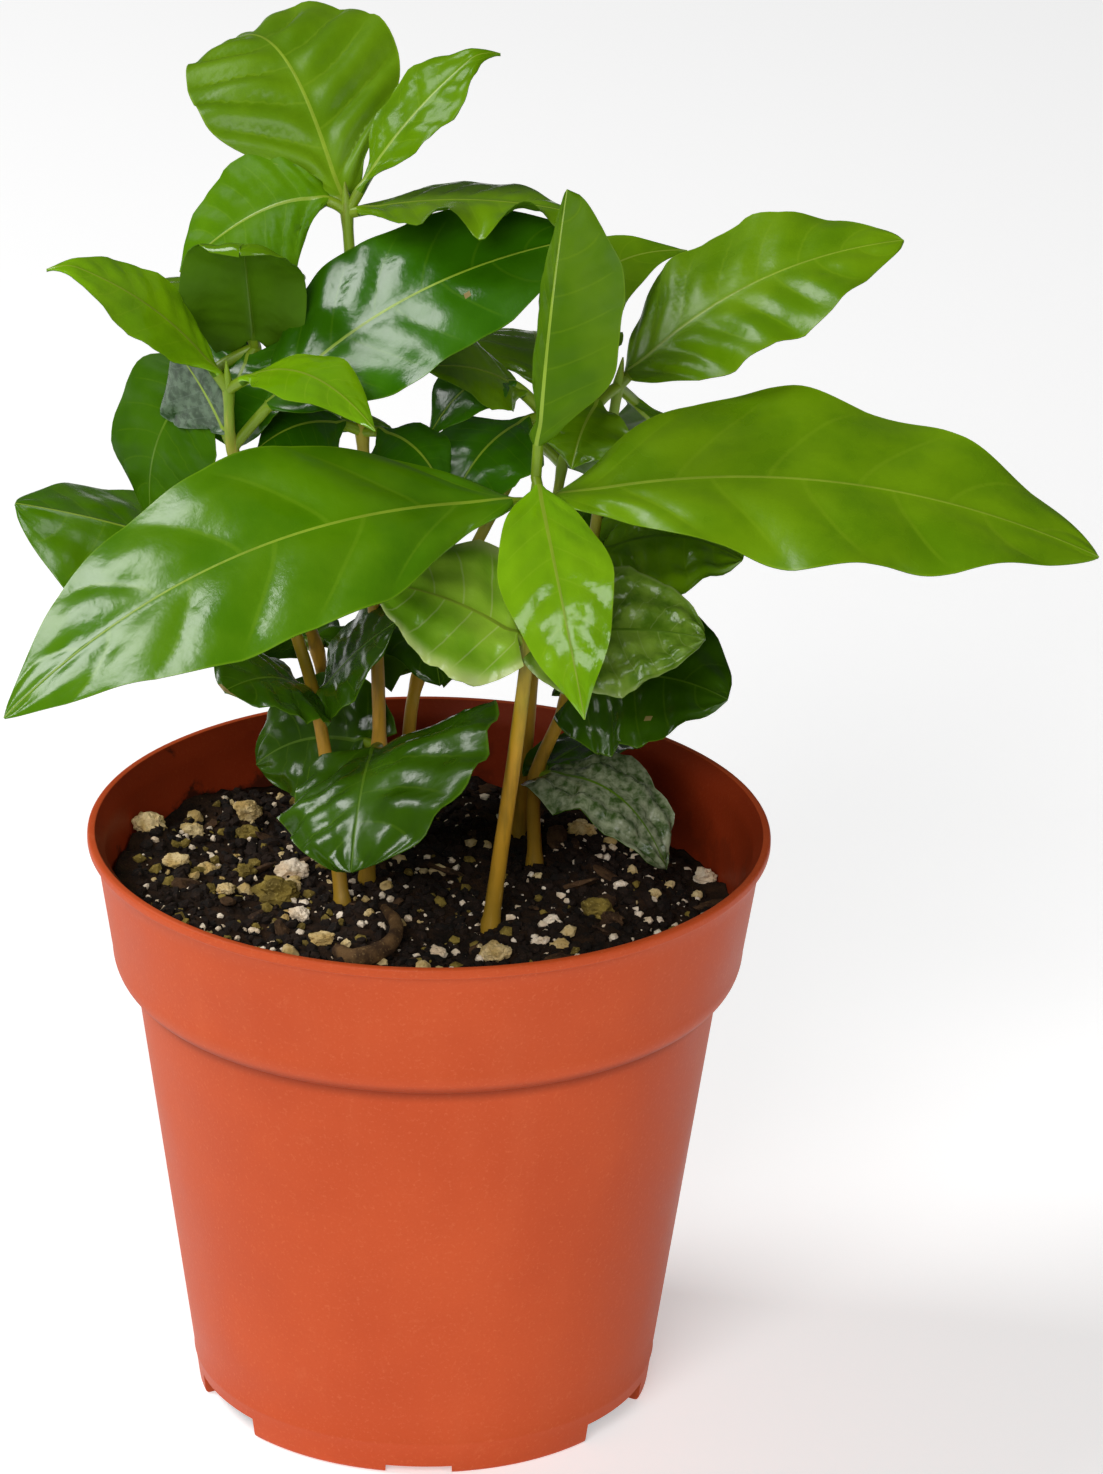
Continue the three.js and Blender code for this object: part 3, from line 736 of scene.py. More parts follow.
seedlings = dict(
    front=dict(foot=(10, -10.5), radii=(1.3, 0.95), bud=8, tiers=[
        ("seed_leaves", (15.2, -12.5, 132.5), [
            seedLeaf((-8.8, -10, 141.5), 24, bow=2, roll=40, widestAt=0.68, tone="limeSeed", rib="midrib",
                     frill=0.7),
            seedLeaf((42.5, -16, 135.5), 23, bow=2, roll=-38, tone="paleSeed", pairs=8, quilt=1.9,
                     crinkle=1.1)]),
        ("crown", (16, -13.8, 156.6), [
            leaf((-64, -38, 129.5), 38, bow=10.5, roll=25, fullness=0.8, tipPinch=0.1, petiole=3, pairs=6,
                 quilt=0.8, tone="broad"),
            leaf((102, -22, 152.5), 38, bow=8, roll=-22, fullness=0.75, widestAt=0.84, baseTaper=0.42,
                 lean=-0.25, tipPinch=0, petiole=3, wave=1.3, ripples=3.4, scallop=0.05, pairs=6,
                 quilt=0.65, tone="satin"),
            leaf((24, -38, 131), 18, bow=5, sway=1.5, petiole=2, lift=4.2, widestAt=0.8, baseTaper=0,
                 tone="fresh"),
            leaf((20, -4, 204), 14, bow=4, sway=1, lopsided=0.7, fullness=0.5, widestAt=1, lift=4.2,
                 quilt=1.3, tone="olive")])]),
    left=dict(foot=(-13.6, -3), radii=(1.15, 0.8), tiers=[
        ("seed_leaves", (-18.2, 5, 115), [
            seedLeaf((-32, -7, 121.5), 24, bow=3, roll=15, petiole=3.6, crinkle=0.2, frill=0.5,
                     scars=[(1.0, 0.0, 0.03, 2.0)]),
            seedLeaf((-5.5, -2, 131.5), 21, bow=1, roll=-34, lobe=2, crinkle=0.2, frill=0.4)]),
        ("middle_leaves", (-31, -2, 160.2), [
            leaf((25.5, 5, 193.5), 29, bow=7, roll=-31, petiole=8, fullness=0.7, widestAt=0.85, baseTaper=0,
                 quilt=0.5, tone="deep", scars=[(0.62, 0.3, 0.008, 0.04)]),
            leaf((-40.5, 4, 175), 16, bow=1, roll=100, lopsided=-0.5, petiole=2.5, tone="sheen")]),
        ("crown", (-31.6, -3, 170.2), [
            leaf((-58, -5, 191.5), 17, bow=3, roll=20, petiole=3, hook=2.0, tone="fresh"),
            leaf((-8.5, -22, 171), 14, bow=6, roll=-10, petiole=3, tone="fresh")])]),
    tall=dict(foot=(-10, 6.5), radii=(1.15, 0.85), tiers=[
        ("seed_leaves", (-8.2, 6, 107), [
            seedLeaf((-11.5, -26, 99.5), 40, bow=6, roll=-31, lopsided=-0.2, petiole=6.5, lobe=1.2,
                     fullness=0.5, widestAt=0.72),
            seedLeaf((-28, 18, 98.5), 22, bow=3, roll=60)]),
        ("middle_leaves", (-11.3, 9.5, 159), [
            leaf((-27.5, 3, 158), 19, bow=3, roll=20, lopsided=-0.4, petiole=3, tone="deep"),
            leaf((2, -1, 152), 18, bow=4, roll=-15, lopsided=0.35, petiole=3, tone="deep"),
            leaf((-16, 38, 148), 20, bow=4, roll=-30)]),
        ("crown", (-14, 14, 193.3), [
            leaf((-40, 17.5, 182), 24, bow=5, peak=0.35, roll=48, lopsided=-0.16, fullness=0.75,
                 widestAt=0.78, petiole=2, quilt=1.4, tone="softDeep"),
            leaf((20.5, 4, 197.5), 21, bow=2, petiole=2, fullness=0.7, tipPinch=0, wave=3.6, ripples=2.9,
                 rippleStart=-3.4, backWave=0.15, waveFrom=0.55, calmFrom=1, scallop=0.16),
            leaf((-37, 63.5, 201), 33, bow=14, peak=0.55, roll=19, widestAt=0.8, petiole=2, quilt=1.8,
                 ripples=3.2, wave=1, scallop=0.02, tone="soft"),
            leaf((7.6, 20, 219), 15, bow=2, roll=-18, lopsided=-0.1, widestAt=1.15, petiole=4, hook=2.4,
                 quilt=1.2, crinkle=0.35, tone="bright")])]),
    back=dict(foot=(-4, 22), radii=(1.15, 0.8), tiers=[
        ("seed_leaves", (-2.4, 21, 113), [
            seedLeaf((1.3, 6, 117.8), 23, bow=9, crinkle=0.3),
            seedLeaf((4, 45, 105), 22, bow=4)]),
        ("crown", (17, 22, 157.5), [
            leaf((-2, 10, 169.5), 18, bow=3, roll=25),
            leaf((-1, 12, 157), 14, bow=8, roll=10, tone="deep"),
            leaf((39, 30, 182.5), 16, bow=9, peak=0.6, roll=-28),
            leaf((14, 64, 152), 28, bow=8),
            leaf((2.5, 8, 146), 23, bow=4, petiole=3, tone="deep")])]),
    right=dict(foot=(16.7, 14), radii=(1.15, 0.8), tiers=[
        ("seed_leaves", (16.7, 14, 99), [
            seedLeaf((37.5, 2, 88.5), 18, bow=6, roll=-8, tone="greySeed", pairs=7, quilt=1.5, wave=1.6,
                     crinkle=1.2, frill=0.15, scallop=0),
            seedLeaf((33, 36, 95), 12, bow=3)]),
        ("middle_leaves", (21.3, 14, 112.3), [
            seedLeaf((46.7, 4, 117), 30, bow=4, roll=-30,
                     scars=[(0.5, 0.5, 0.05, 0.035), (0.6, 0.6, 0.03, 0.035)]),
            seedLeaf((46, 28, 109), 20, bow=3)]),
        ("upper_leaves", (24.6, 13.4, 136.5), [
            seedLeaf((48.5, 7, 139.5), 29, bow=4, roll=-24, tone="mature", quilt=1.5, crinkle=0.9),
            seedLeaf((40, 38, 134), 22, bow=4)]),
        ("crown", (28.5, 12, 166.3), [
            leaf((72.5, 18, 189), 30, bow=5, roll=-20, fullness=0.62, baseTaper=0, petiole=2, tipPinch=0.25,
                 wave=0.9, ripples=3, quilt=0.9, tone="satin"),
            leaf((21.5, 0, 157), 16, bow=3, wave=1.5),
            leaf((50, 46, 130), 24, bow=1)])]),
    back_right=dict(foot=(14, 25), radii=(1.15, 0.8), tiers=[
        ("seed_leaves", (17, 22, 126), [
            seedLeaf((37, 41, 120), 21, bow=4),
            seedLeaf((1, 45, 121), 21, bow=4)]),
        ("crown", (20, 25, 148), [
            leaf((4, 58, 134), 26, bow=6),
            leaf((28, 66, 128), 26, bow=6)])]),
    back_left=dict(foot=(-13, 24), radii=(1.15, 0.8), tiers=[
        ("seed_leaves", (-18.6, 22, 117), [
            seedLeaf((-33, 37, 111), 22, bow=3),
            seedLeaf((-16, 45, 108), 20, bow=3)]),
        ("middle_leaves", (-21.5, 18, 128), [
            leaf((-65.5, 8, 146.5), 32, bow=2, roll=28, fold=-0.4, fullness=0.6, quilt=0.35, frill=0,
                 crinkle=0.3, tone="broad"),
            leaf((-20, 62, 124), 30, bow=10)]),
        ("crown", (-28, 10, 172.5), [
            leaf((-29.5, 0.5, 194), 19, bow=0, roll=-6, lopsided=0.1, fullness=0.3, widestAt=1.05,
                 baseTaper=0, petiole=2.2, lobe=7, hook=3, tipPinch=0, wave=2.6, ripples=1.6,
                 calmFrom=1, rib="dimMidrib"),
            leaf((-44, 8, 144.5), 25, bow=6, roll=32, fullness=0.55, tone="shade", rib="dimMidrib"),
            leaf((-42, 58, 152), 30, bow=12),
            leaf((-32, 5, 158), 20, bow=2, petiole=1.5, fullness=0.4, widestAt=0.6, baseTaper=0, lobe=9,
                 tone="deep")])]),
)
stretches = ("lower_stem", "middle_stem", "upper_stem", "top_stem")


# Stems

stem = dict(
    gap=0.3, sunk=3.0, spacing=0.8, rootFlare=0.35, flareHeight=1.2, nodeHalf=3.0, nodeSwell=0.22,
    budLength=5.0, budTip=0.16, budPower=1.6, mostShare=1.1, sides=14, relief=0.22, stepsPerTier=100,
    stops=((0.0, (158, 122, 30)), (0.3, (198, 148, 38)), (0.62, (156, 142, 28)), (1.0, (116, 146, 24))),
    dark=(96, 84, 22), pale=(206, 176, 98),
)


def stemLine(points):
    # a smooth line through the foot and the nodes, as close to them as their distances ask
    points = np.array(points, float)
    padded = np.vstack([2 * points[0] - points[1], points, 2 * points[-1] - points[-2]])
    shares = np.linspace(0, 1, stem["stepsPerTier"], endpoint=False)[:, None]
    line = []
    for i in range(len(points) - 1):
        a, b, c, d = padded[i:i + 4]
        ab, bc, cd = (math.sqrt(np.linalg.norm(v)) for v in (b - a, c - b, d - c))
        leave = ((b - a) / ab - (c - a) / (ab + bc) + (c - b) / bc) * bc
        arrive = ((c - b) / bc - (d - b) / (bc + cd) + (d - c) / cd) * bc
        square = -3 * b + 3 * c - 2 * leave - arrive
        cube = 2 * b - 2 * c + leave + arrive
        line.append(b + leave * shares + square * shares ** 2 + cube * shares ** 3)
    return np.vstack(line + [points[-1:]])


def stemPath(seedling):
    # points along a stem with its radius and its share of the height
    foot = (*seedling["foot"], soil["top"] + stem["gap"])
    nodes = [at for _, at, _ in seedling["tiers"]]
    line = stemLine([foot, *nodes])
    end = line[-1] - line[-2]
    end = end / np.linalg.norm(end)
    budLength = seedling.get("bud", stem["budLength"])
    line = np.vstack([line[:1] - (0, 0, stem["sunk"]), line, line[-1:] + end * budLength])
    far = np.concatenate([[0], np.cumsum(np.linalg.norm(np.diff(line, axis=0), axis=1))])
    count = int(far[-1] / stem["spacing"])
    at = np.linspace(0, far[-1], count)
    path = np.column_stack([np.interp(at, far, line[:, k]) for k in range(3)])
    up = at - stem["sunk"]
    length = far[-1] - stem["sunk"] - budLength
    low, high = seedling["radii"]
    radius = low + (high - low) * np.clip(up / length, 0, 1)
    radius += stem["rootFlare"] * np.exp(-np.maximum(up, 0) / stem["flareHeight"])
    for i in range(len(nodes)):
        nodeAt = far[1 + stem["stepsPerTier"] * (i + 1)] - stem["sunk"]
        near = np.clip(1 - np.abs(up - nodeAt) / stem["nodeHalf"], 0, 1)
        radius *= 1 + stem["nodeSwell"] * smooth(0, 1, near)
    bud = np.clip((up - length) / budLength, 0, 1)
    radius *= 1 - (1 - stem["budTip"]) * bud ** stem["budPower"]
    return path, radius, np.clip(up / length, 0, stem["mostShare"])


def pathMesh(name, path, **values):
    # a line of edges that carries values at its points
    mesh = bpy.data.meshes.new(name)
    mesh.from_pydata((path * mm).tolist(), [(i, i + 1) for i in range(len(path) - 1)], [])
    for label, numbers in values.items():
        writeValues(mesh, label, numbers)
    return mesh


def stemTree():
    tree, start = openTree("growStem", [
        ("Sides", "Int", 12), ("Relief", "Float", 0.0002), ("Grain", "Float", 420.0),
        ("Material", "Material", None)])
    line = put(tree, "GeometryNodeMeshToCurve", Mesh=start["Geometry"]).outputs[0]
    ring = put(tree, "GeometryNodeCurvePrimitiveCircle", Resolution=start["Sides"], Radius=1.0).outputs[0]
    tube = put(tree, "GeometryNodeCurveToMesh", Curve=line, Profile_Curve=ring,
               Scale=namedValue(tree, "stemRadius"), Fill_Caps=True).outputs[0]
    where = tree.nodes.new("GeometryNodeInputPosition").outputs[0]
    drawnOut = vectorSums(tree, "MULTIPLY", where, (1, 1, 0.25))
    rough = put(tree, "ShaderNodeTexNoise", Vector=drawnOut, Scale=start["Grain"], Detail=3.0).outputs[0]
    out = times(tree, sums(tree, "SUBTRACT", rough, 0.5), start["Relief"])
    push = scaleVector(tree, tree.nodes.new("GeometryNodeInputNormal").outputs[0], out)
    barky = put(tree, "GeometryNodeSetPosition", Geometry=tube, Offset=push).outputs[0]
    even = put(tree, "GeometryNodeSetShadeSmooth", Geometry=barky, Shade_Smooth=True).outputs[0]
    closeTree(tree, even, start["Material"])
    return tree


def stemFinish():
    material, tree, shade, place = freshMaterial("youngBark", Roughness=0.5, Specular_IOR_Level=0.4)
    streak = grain(tree, place, scale=520, detail=4, rough=0.6, stretch=(1, 1, 0.12))
    blotch = sums(tree, "SUBTRACT", grain(tree, place, scale=120), 0.5)
    ramp = put(tree, "ShaderNodeValToRGB")
    stops = ramp.color_ramp.elements
    first, *between, last = stem["stops"]
    for stop, (position, colour) in zip(stops, (first, last)):
        stop.position = position
        stop.color = paint(colour)
    for position, colour in between:
        stops.new(position).color = paint(colour)
    shifted = sums(tree, "ADD", paintedValue(tree, "heightShare"), times(tree, blotch, 0.5))
    tree.links.new(shifted, ramp.inputs[0])
    colour = blendColours(tree, fit(tree, streak, 0.5, 0.75, 0, 0.5), ramp.outputs[0], paint(stem["dark"]))
    colour = blendColours(tree, fit(tree, streak, 0.42, 0.25, 0, 0.4), colour, paint(stem["pale"]))
    colourWith(tree, shade, colour)
    relief(tree, shade, streak, 0.35, 0.0003)
    return material


# a curl of bark that lies on the soil at the front: its line, and how thick it is there
barkCurl = dict(
    line=((-6.8, -11.5, 87.2), (-4.6, -17.2, 86.4), (-6.6, -23.5, 85.4), (-10.6, -26.0, 85.0),
          (-14.0, -22.8, 84.8)),
    radii=(0.7, 1.1, 1.5, 1.7, 1.0), skip=6, sides=16, relief=1.1, grain=240.0,
    colours=((104, 76, 44), (58, 38, 20), (150, 122, 78)),
)


def makeBarkCurl(tree):
    path = stemLine(barkCurl["line"])[::barkCurl["skip"]]
    radii = barkCurl["radii"]
    radius = np.interp(np.linspace(0, 1, len(path)), np.linspace(0, 1, len(radii)), radii)
    line = pathMesh("barkCurlLine", path, stemRadius=radius * mm)
    inputs = {"Sides": barkCurl["sides"], "Relief": barkCurl["relief"] * mm, "Grain": barkCurl["grain"],
              "Material": grainFinish("barkCurlFinish", barkCurl["colours"])}
    addPiece("barkCurl", bakeTree("barkCurl", line, tree, inputs))


def makeStems():
    tree = stemTree()
    makeBarkCurl(tree)
    inputs = {"Sides": stem["sides"], "Relief": stem["relief"] * mm, "Material": stemFinish()}
    for name, seedling in seedlings.items():
        path, radius, share = stemPath(seedling)
        line = pathMesh(name + "Line", path, stemRadius=radius * mm, heightShare=share)
        nodes = [name + "_" + stretches[i] for i in range(len(seedling["tiers"]))]
        addPiece(name + "Stem", bakeTree(name + "Stem", line, tree, inputs), nodes)
    print("stems made")


makeStems()


# Leaves, in millimetres

leafKinds = dict(
    true=dict(petiole=5.5, petioleRadius=0.85, widestAt=0.88, fullness=0.9, lobe=0, pairs=7, sweep=0.2,
              quilt=0.85, frill=0.15, crinkle=0.12, tipPinch=0.2, baseTaper=0.45, scallop=0.03,
              rib="midrib"),
    seed=dict(petiole=2.4, petioleRadius=0.9, widestAt=0.78, fullness=0.62, lobe=4, pairs=5, sweep=0.3,
              quilt=1.0, frill=0.8, crinkle=0.5, tipPinch=0.0, baseTaper=0.0, scallop=0.03, rib="dimMidrib"),
)
leafDefaults = dict(
    bow=3, peak=0.5, sway=0, roll=0, fold=0.1, curl=0.12, wave=0.6, lopsided=0, lean=0, lift=0, hook=0,
    ripples=2.6, rippleStart=0, backWave=1, waveFrom=0, calmFrom=0.8, scars=(), tone="mature",
)
narrowRelief = dict(wave=(26, 1.0), quilt=(30, 1.1), frill=(30, 1.0))  # full at this width, and at most
ripple = dict(leafShift=2.4, sideShift=2.0, calmBand=0.2, startBand=0.25)
blade = dict(
    thickness=0.4, marginThickness=0.12, ribHalf=(0.34, 0.09), ribDrop=0.8, ribRise=0.08, marginBand=0.25,
    tipHalf=0.14, petioleRows=7, rowStep=0.95, rowLimits=(24, 100), columnStep=1.1, columnLimits=(6, 17),
    patternGap=2.0, capReach=0.8, sharpAngle=60,
)

toneDefaults = dict(gloss=(0.16, 0.27), specular=0.38, mottle=85, patch=(0.32, 0.68), rim=0.975, relief=0.28)
tones = dict(
    mature=dict(base=(102, 140, 4), shadow=(86, 126, 3), vein=(118, 152, 20)),
    broad=dict(base=(82, 126, 3), shadow=(68, 114, 2), vein=(108, 146, 22)),
    satin=dict(base=(104, 142, 4), shadow=(88, 128, 3), vein=(120, 154, 20), gloss=(0.24, 0.34),
               specular=0.26),
    fresh=dict(base=(120, 166, 8), shadow=(106, 154, 6), vein=(138, 176, 30), gloss=(0.11, 0.19),
               specular=0.6),
    bright=dict(base=(94, 134, 4), shadow=(80, 120, 3), vein=(118, 152, 26), gloss=(0.18, 0.26),
                specular=0.14),
    soft=dict(base=(98, 136, 5), shadow=(84, 122, 3), vein=(120, 152, 28), gloss=(0.32, 0.44), specular=0.2),
    softDeep=dict(base=(84, 128, 4), shadow=(70, 114, 3), vein=(106, 144, 22), gloss=(0.3, 0.42),
                  specular=0.06),
    deep=dict(base=(53, 104, 2), shadow=(42, 90, 1), vein=(80, 122, 14)),
    shade=dict(base=(56, 96, 2), shadow=(44, 82, 1), vein=(78, 112, 10), gloss=(0.38, 0.5), specular=0.04),
    olive=dict(base=(78, 112, 4), shadow=(64, 100, 2), vein=(98, 128, 12), gloss=(0.38, 0.5), specular=0.08),
    sheen=dict(base=(88, 110, 84), shadow=(30, 56, 24), vein=(110, 130, 110), gloss=(0.22, 0.32), mottle=620,
               patch=(0.3, 0.72), relief=0.5),
    seed=dict(base=(56, 92, 3), shadow=(42, 74, 2), vein=(86, 118, 22)),
    # a seed leaf's green brightened as painted light; its wide pale margin is partly its own, partly painted
    # sheen
    limeSeed=dict(base=(152, 194, 52), shadow=(114, 166, 26), vein=(214, 218, 150), rim=0.74, relief=0.45),
    # a seed leaf's green brightened as painted light and greyed as painted sheen
    paleSeed=dict(base=(112, 142, 44), shadow=(74, 108, 18), vein=(146, 164, 92), rim=0.9, mottle=260,
                  relief=0.6),
    # grey-white patches over the dark green: painted sheen
    greySeed=dict(base=(140, 146, 116), shadow=(54, 76, 30), vein=(140, 148, 118), gloss=(0.17, 0.28),
                  mottle=680, patch=(0.3, 0.7), relief=0.7),
)
skins = dict(
    midrib=dict(colour=(134, 162, 38), rough=0.35, specular=0.4),
    dimMidrib=dict(colour=(84, 118, 18), rough=0.35, specular=0.2),
    petiole=dict(colour=(118, 146, 20), rough=0.4, specular=0.4),
    underside=dict(colour=(70, 108, 6), rough=0.5, specular=0.1),
    scar=dict(colour=(146, 128, 76), rough=0.6, specular=0.2),
)
veinLine = dict(half=(0.045, 0.012), fade=(0.96, 0.7), share=0.28)


def leafFinish(name, tone):
    look = {**toneDefaults, **tone}
    base, shadow, vein = (paint(look[part]) for part in ("base", "shadow", "vein"))
    material, tree, shade, place = freshMaterial(name, Roughness=0.3, Specular_IOR_Level=look["specular"])
    apart = sums(tree, "PINGPONG", paintedValue(tree, "veinPhase"), 0.5)
    wide = sums(tree, "ABSOLUTE", paintedValue(tree, "acrossShare"))
    line = times(tree, fit(tree, apart, *veinLine["half"]), fit(tree, wide, *veinLine["fade"]))
    cloud = grain(tree, place, look["mottle"])
    cells = grain(tree, place, scale=1100, rough=0.6)
    colour = blendColours(tree, fit(tree, cloud, *look["patch"]), shadow, base)
    colour = blendColours(tree, times(tree, line, veinLine["share"]), colour, vein)
    colour = blendColours(tree, fit(tree, wide, look["rim"], 0.995, 0, 0.55), colour, vein)
    colourWith(tree, shade, colour)
    tree.links.new(fit(tree, cloud, 0.25, 0.75, *look["gloss"]), shade.inputs["Roughness"])
    blisters = sums(tree, "ADD", grain(tree, place, scale=170, detail=2), times(tree, cells, 0.16))
    relief(tree, shade, blisters, look["relief"], 0.0008)
    return material


def skinFinish(name, colour, rough, specular):
    # midribs, petioles, undersides and scars: one colour with a slow drift and a fine grain
    material, tree, shade, place = freshMaterial(name, Roughness=rough, Specular_IOR_Level=specular)
    light = paint(colour)
    dark = (*(0.78 * part for part in light[:3]), 1.0)
    cloud = fit(tree, grain(tree, place, scale=140), 0.3, 0.7)
    colourWith(tree, shade, blendColours(tree, cloud, dark, light))
    relief(tree, shade, grain(tree, place, scale=900), 0.2, 0.0003)
    return material


def unit(vectors):
    return vectors / np.linalg.norm(vectors, axis=-1, keepdims=True)


def leafValues(spec):
    own = {**leafDefaults, **leafKinds[spec.get("kind", "true")], **spec}
    for key, (width, most) in narrowRelief.items():
        own[key] *= min(most, own["width"] / width)
    return own


def leafLine(root, own):
    # where the midrib starts, the straight way to its tip, and the ways beside and above that
    root = np.array(root, float) + (0, 0, own["lift"])
    chord = np.array(own["tip"], float) - root
    side = unit(np.cross(chord, (0, 0, 1)))
    rise = unit(np.cross(side, chord))
    return dict(root=root, chord=chord, length=np.linalg.norm(chord), side=side, rise=rise)


def midribAt(line, own, share):
    power = math.log(0.5) / math.log(own["peak"])
    even = np.where(share > 0, np.abs(share) ** power, share)
    bend = (4 * even * (1 - even))[..., None]
    nod = own["hook"] * (np.clip((share - 0.9) / 0.1, 0, 1) ** 2)[..., None]
    arch = line["rise"] * own["bow"] + line["side"] * own["sway"]
    return line["root"] + line["chord"] * share[..., None] + arch * bend - line["rise"] * nod


def leafGrid(own, length):
    # shares along and across the leaf, and its half width: below 0 along lies the petiole
    stalkShare = own["petiole"] / length
    steps = np.linspace(0, 1, int(np.clip(length / blade["rowStep"], *blade["rowLimits"])))
    steps = steps - 0.05 * np.sin(2 * np.pi * steps)
    stalk = np.linspace(0, stalkShare, blade["petioleRows"], endpoint=False)
    share = np.concatenate([stalk, stalkShare + (1 - stalkShare) * steps])[:, None]
    along = (share - stalkShare) / (1 - stalkShare)
    far = np.clip(along, 0, 1)
    outline = np.sin(np.pi * np.minimum(1, far ** own["widestAt"])) ** own["fullness"]
    outline = outline * (1 - own["tipPinch"] * smooth(0.72, 0.97, far))
    least = np.where(far < 0.5, own["petioleRadius"], blade["tipHalf"])
    half = np.maximum(own["width"] / 2 * outline, least)
    thick, thin = blade["ribHalf"]
    ribHalf = thick + (thin - thick) * far
    rib = np.minimum(ribHalf, 0.45 * half) / half
    margin = np.minimum(blade["marginBand"] / half, 0.3 * (1 - rib))
    # columns stand close at the midrib and at the margin
    count = int(np.clip(own["width"] / 2 / blade["columnStep"], *blade["columnLimits"]))
    web = [rib + (1 - rib - margin) * k / count for k in range(1, count + 1)]
    right = np.hstack([np.zeros_like(rib), 0.5 * rib, rib] + web + [np.ones_like(rib)])
    across = np.hstack([-right[:, :0:-1], right])
    return dict(share=share, along=along, far=far, across=across, half=half, ribHalf=ribHalf,
                onBlade=smooth(0.0, 0.1, along), centre=len(right[0]) - 1)


def leafRelief(own, grid, order):
    # how high the blade stands over a flat sheet, where its veins run, and how its margin is lobed
    far, across, half, onBlade = (grid[key] for key in ("far", "across", "half", "onBlade"))
    wide = np.abs(across)
    phase = own["pairs"] * (far - own["sweep"] * wide ** 1.35 * (1 - 0.35 * far))
    phase = phase + np.where(across < 0, 0.38, 0.0) + 0.3 * order
    taper = np.sqrt(half / (own["width"] / 2)) * onBlade
    shift = order * ripple["leafShift"] + own["rippleStart"] + np.where(across > 0, 0, ripple["sideShift"])
    swing = 2 * np.pi * own["ripples"] * far + shift
    # margins lie still towards the tip
    calm = 1 - smooth(own["calmFrom"], own["calmFrom"] + ripple["calmBand"], far)
    calm = calm * smooth(own["waveFrom"] - ripple["startBand"], own["waveFrom"], far)
    calm = calm * np.where(across < 0, own["backWave"], 1.0)
    height = half * (own["fold"] * wide - own["curl"] * across ** 2)
    height = height + own["wave"] * np.sin(swing) * calm * across ** 2
    pillow = np.abs(np.sin(np.pi * phase)) ** 0.85 - 0.6
    height = height + own["quilt"] * pillow * smooth(0.02, 0.3, wide) * (1 - 0.5 * wide ** 4) * taper
    height = height + own["frill"] * np.sin(2 * np.pi * phase + 1.2 * order) * wide ** 5 * taper
    blister = np.sin(3 * np.pi * own["pairs"] / 5 * far + 5 * across + order)
    blister = blister * np.sin(7 * across - 2.4 * np.pi * far + 1.7 * order)
    height = height + own["crinkle"] * blister * smooth(0.05, 0.4, wide) * taper
    lobes = 1 + own["scallop"] * np.cos(swing) * calm * wide ** 2 * onBlade
    return height * onBlade, phase, lobes


def leafTurn(line, own, grid):
    # the place on the midrib that each point belongs to, and the ways across and out of the blade there
    back = own["lobe"] * grid["across"] ** 2 * (1 - grid["far"]) ** 2 * (grid["along"] > 0)
    at = grid["share"] - back / line["length"]
    forward = unit(midribAt(line, own, at + 0.01) - midribAt(line, own, at - 0.01))
    level = unit(line["side"] - forward * (forward @ line["side"])[..., None])
    upright = np.cross(level, forward)
    roll = np.radians(own["roll"]) * smooth(-0.02, 0.1, grid["along"])[..., None]
    sideways = level * np.cos(roll) + upright * np.sin(roll)
    return midribAt(line, own, at), sideways, np.cross(sideways, forward)


def leafThickness(own, grid):
    # how far each skin stands off: round on the petiole, thin on the blade, ridged at the midrib
    across = grid["across"]
    stalk = own["petioleRadius"] * np.sqrt(np.maximum(0, 1 - across ** 2)) + 0.03
    thin = blade["thickness"] / 2 + (blade["marginThickness"] - blade["thickness"]) / 2 * across ** 2
    ridge = np.exp(-(across * grid["half"] / grid["ribHalf"]) ** 2)
    fromStalk = smooth(-0.01, 0.1, grid["along"])
    over = stalk + (thin + blade["ribRise"] * ridge - stalk) * fromStalk
    under = stalk + (thin + blade["ribDrop"] * (1 - 0.8 * grid["far"]) * ridge - stalk) * fromStalk
    return over, under


def bothSkins(upper, lower):
    return np.concatenate([upper, lower[:, ::-1]], axis=1)


def growLeaf(root, spec, order):
    # one leaf as a closed skin: rows run from its root to its tip, columns round its section
    own = leafValues(spec)
    line = leafLine(root, own)
    grid = leafGrid(own, line["length"])
    height, phase, lobes = leafRelief(own, grid, order)
    rib, sideways, normal = leafTurn(line, own, grid)
    over, under = leafThickness(own, grid)
    far, across, onBlade = (grid[key] for key in ("far", "across", "onBlade"))
    uneven = own["lopsided"] + own["lean"] * (1 - smooth(0.0, 0.6, far))
    spread = grid["half"] * (1 + np.sign(across) * uneven * onBlade)
    spread = spread * (1 - own["baseTaper"] * (1 - smooth(0.0, 0.3, far)) * np.abs(across) * onBlade)
    middle = rib + sideways * (across * (spread * lobes))[..., None]
    upper = middle + normal * (height + over)[..., None]
    lower = middle + normal * (height - under)[..., None]
    acrossAll = bothSkins(across, across)
    return dict(ring=bothSkins(upper, lower), across=acrossAll, phase=bothSkins(phase, phase),
                far=np.broadcast_to(far, acrossAll.shape), centre=grid["centre"],
                stalk=grid["along"][:, 0] < 0.015, length=line["length"], girth=2 * own["width"],
                tone=own["tone"], rib=own["rib"], scars=own["scars"])


def shelve(sizes, pad):
    # places of rectangles in rows, tallest first, and the side of the square they fill
    order = sorted(range(len(sizes)), key=lambda i: -sizes[i][1])
    side = 1.12 * math.sqrt(sum((w + pad) * (h + pad) for w, h in sizes))
    side = max(side, max(w for w, h in sizes) + 2 * pad)
    places = [None] * len(sizes)
    x = y = pad
    shelf = 0
    for i in order:
        w, h = sizes[i]
        if x + w + pad > side:
            x = pad
            y += shelf + pad
            shelf = 0
        places[i] = (x, y)
        x += w + pad
        shelf = max(shelf, h)
    return places, max(side, y + shelf + pad)


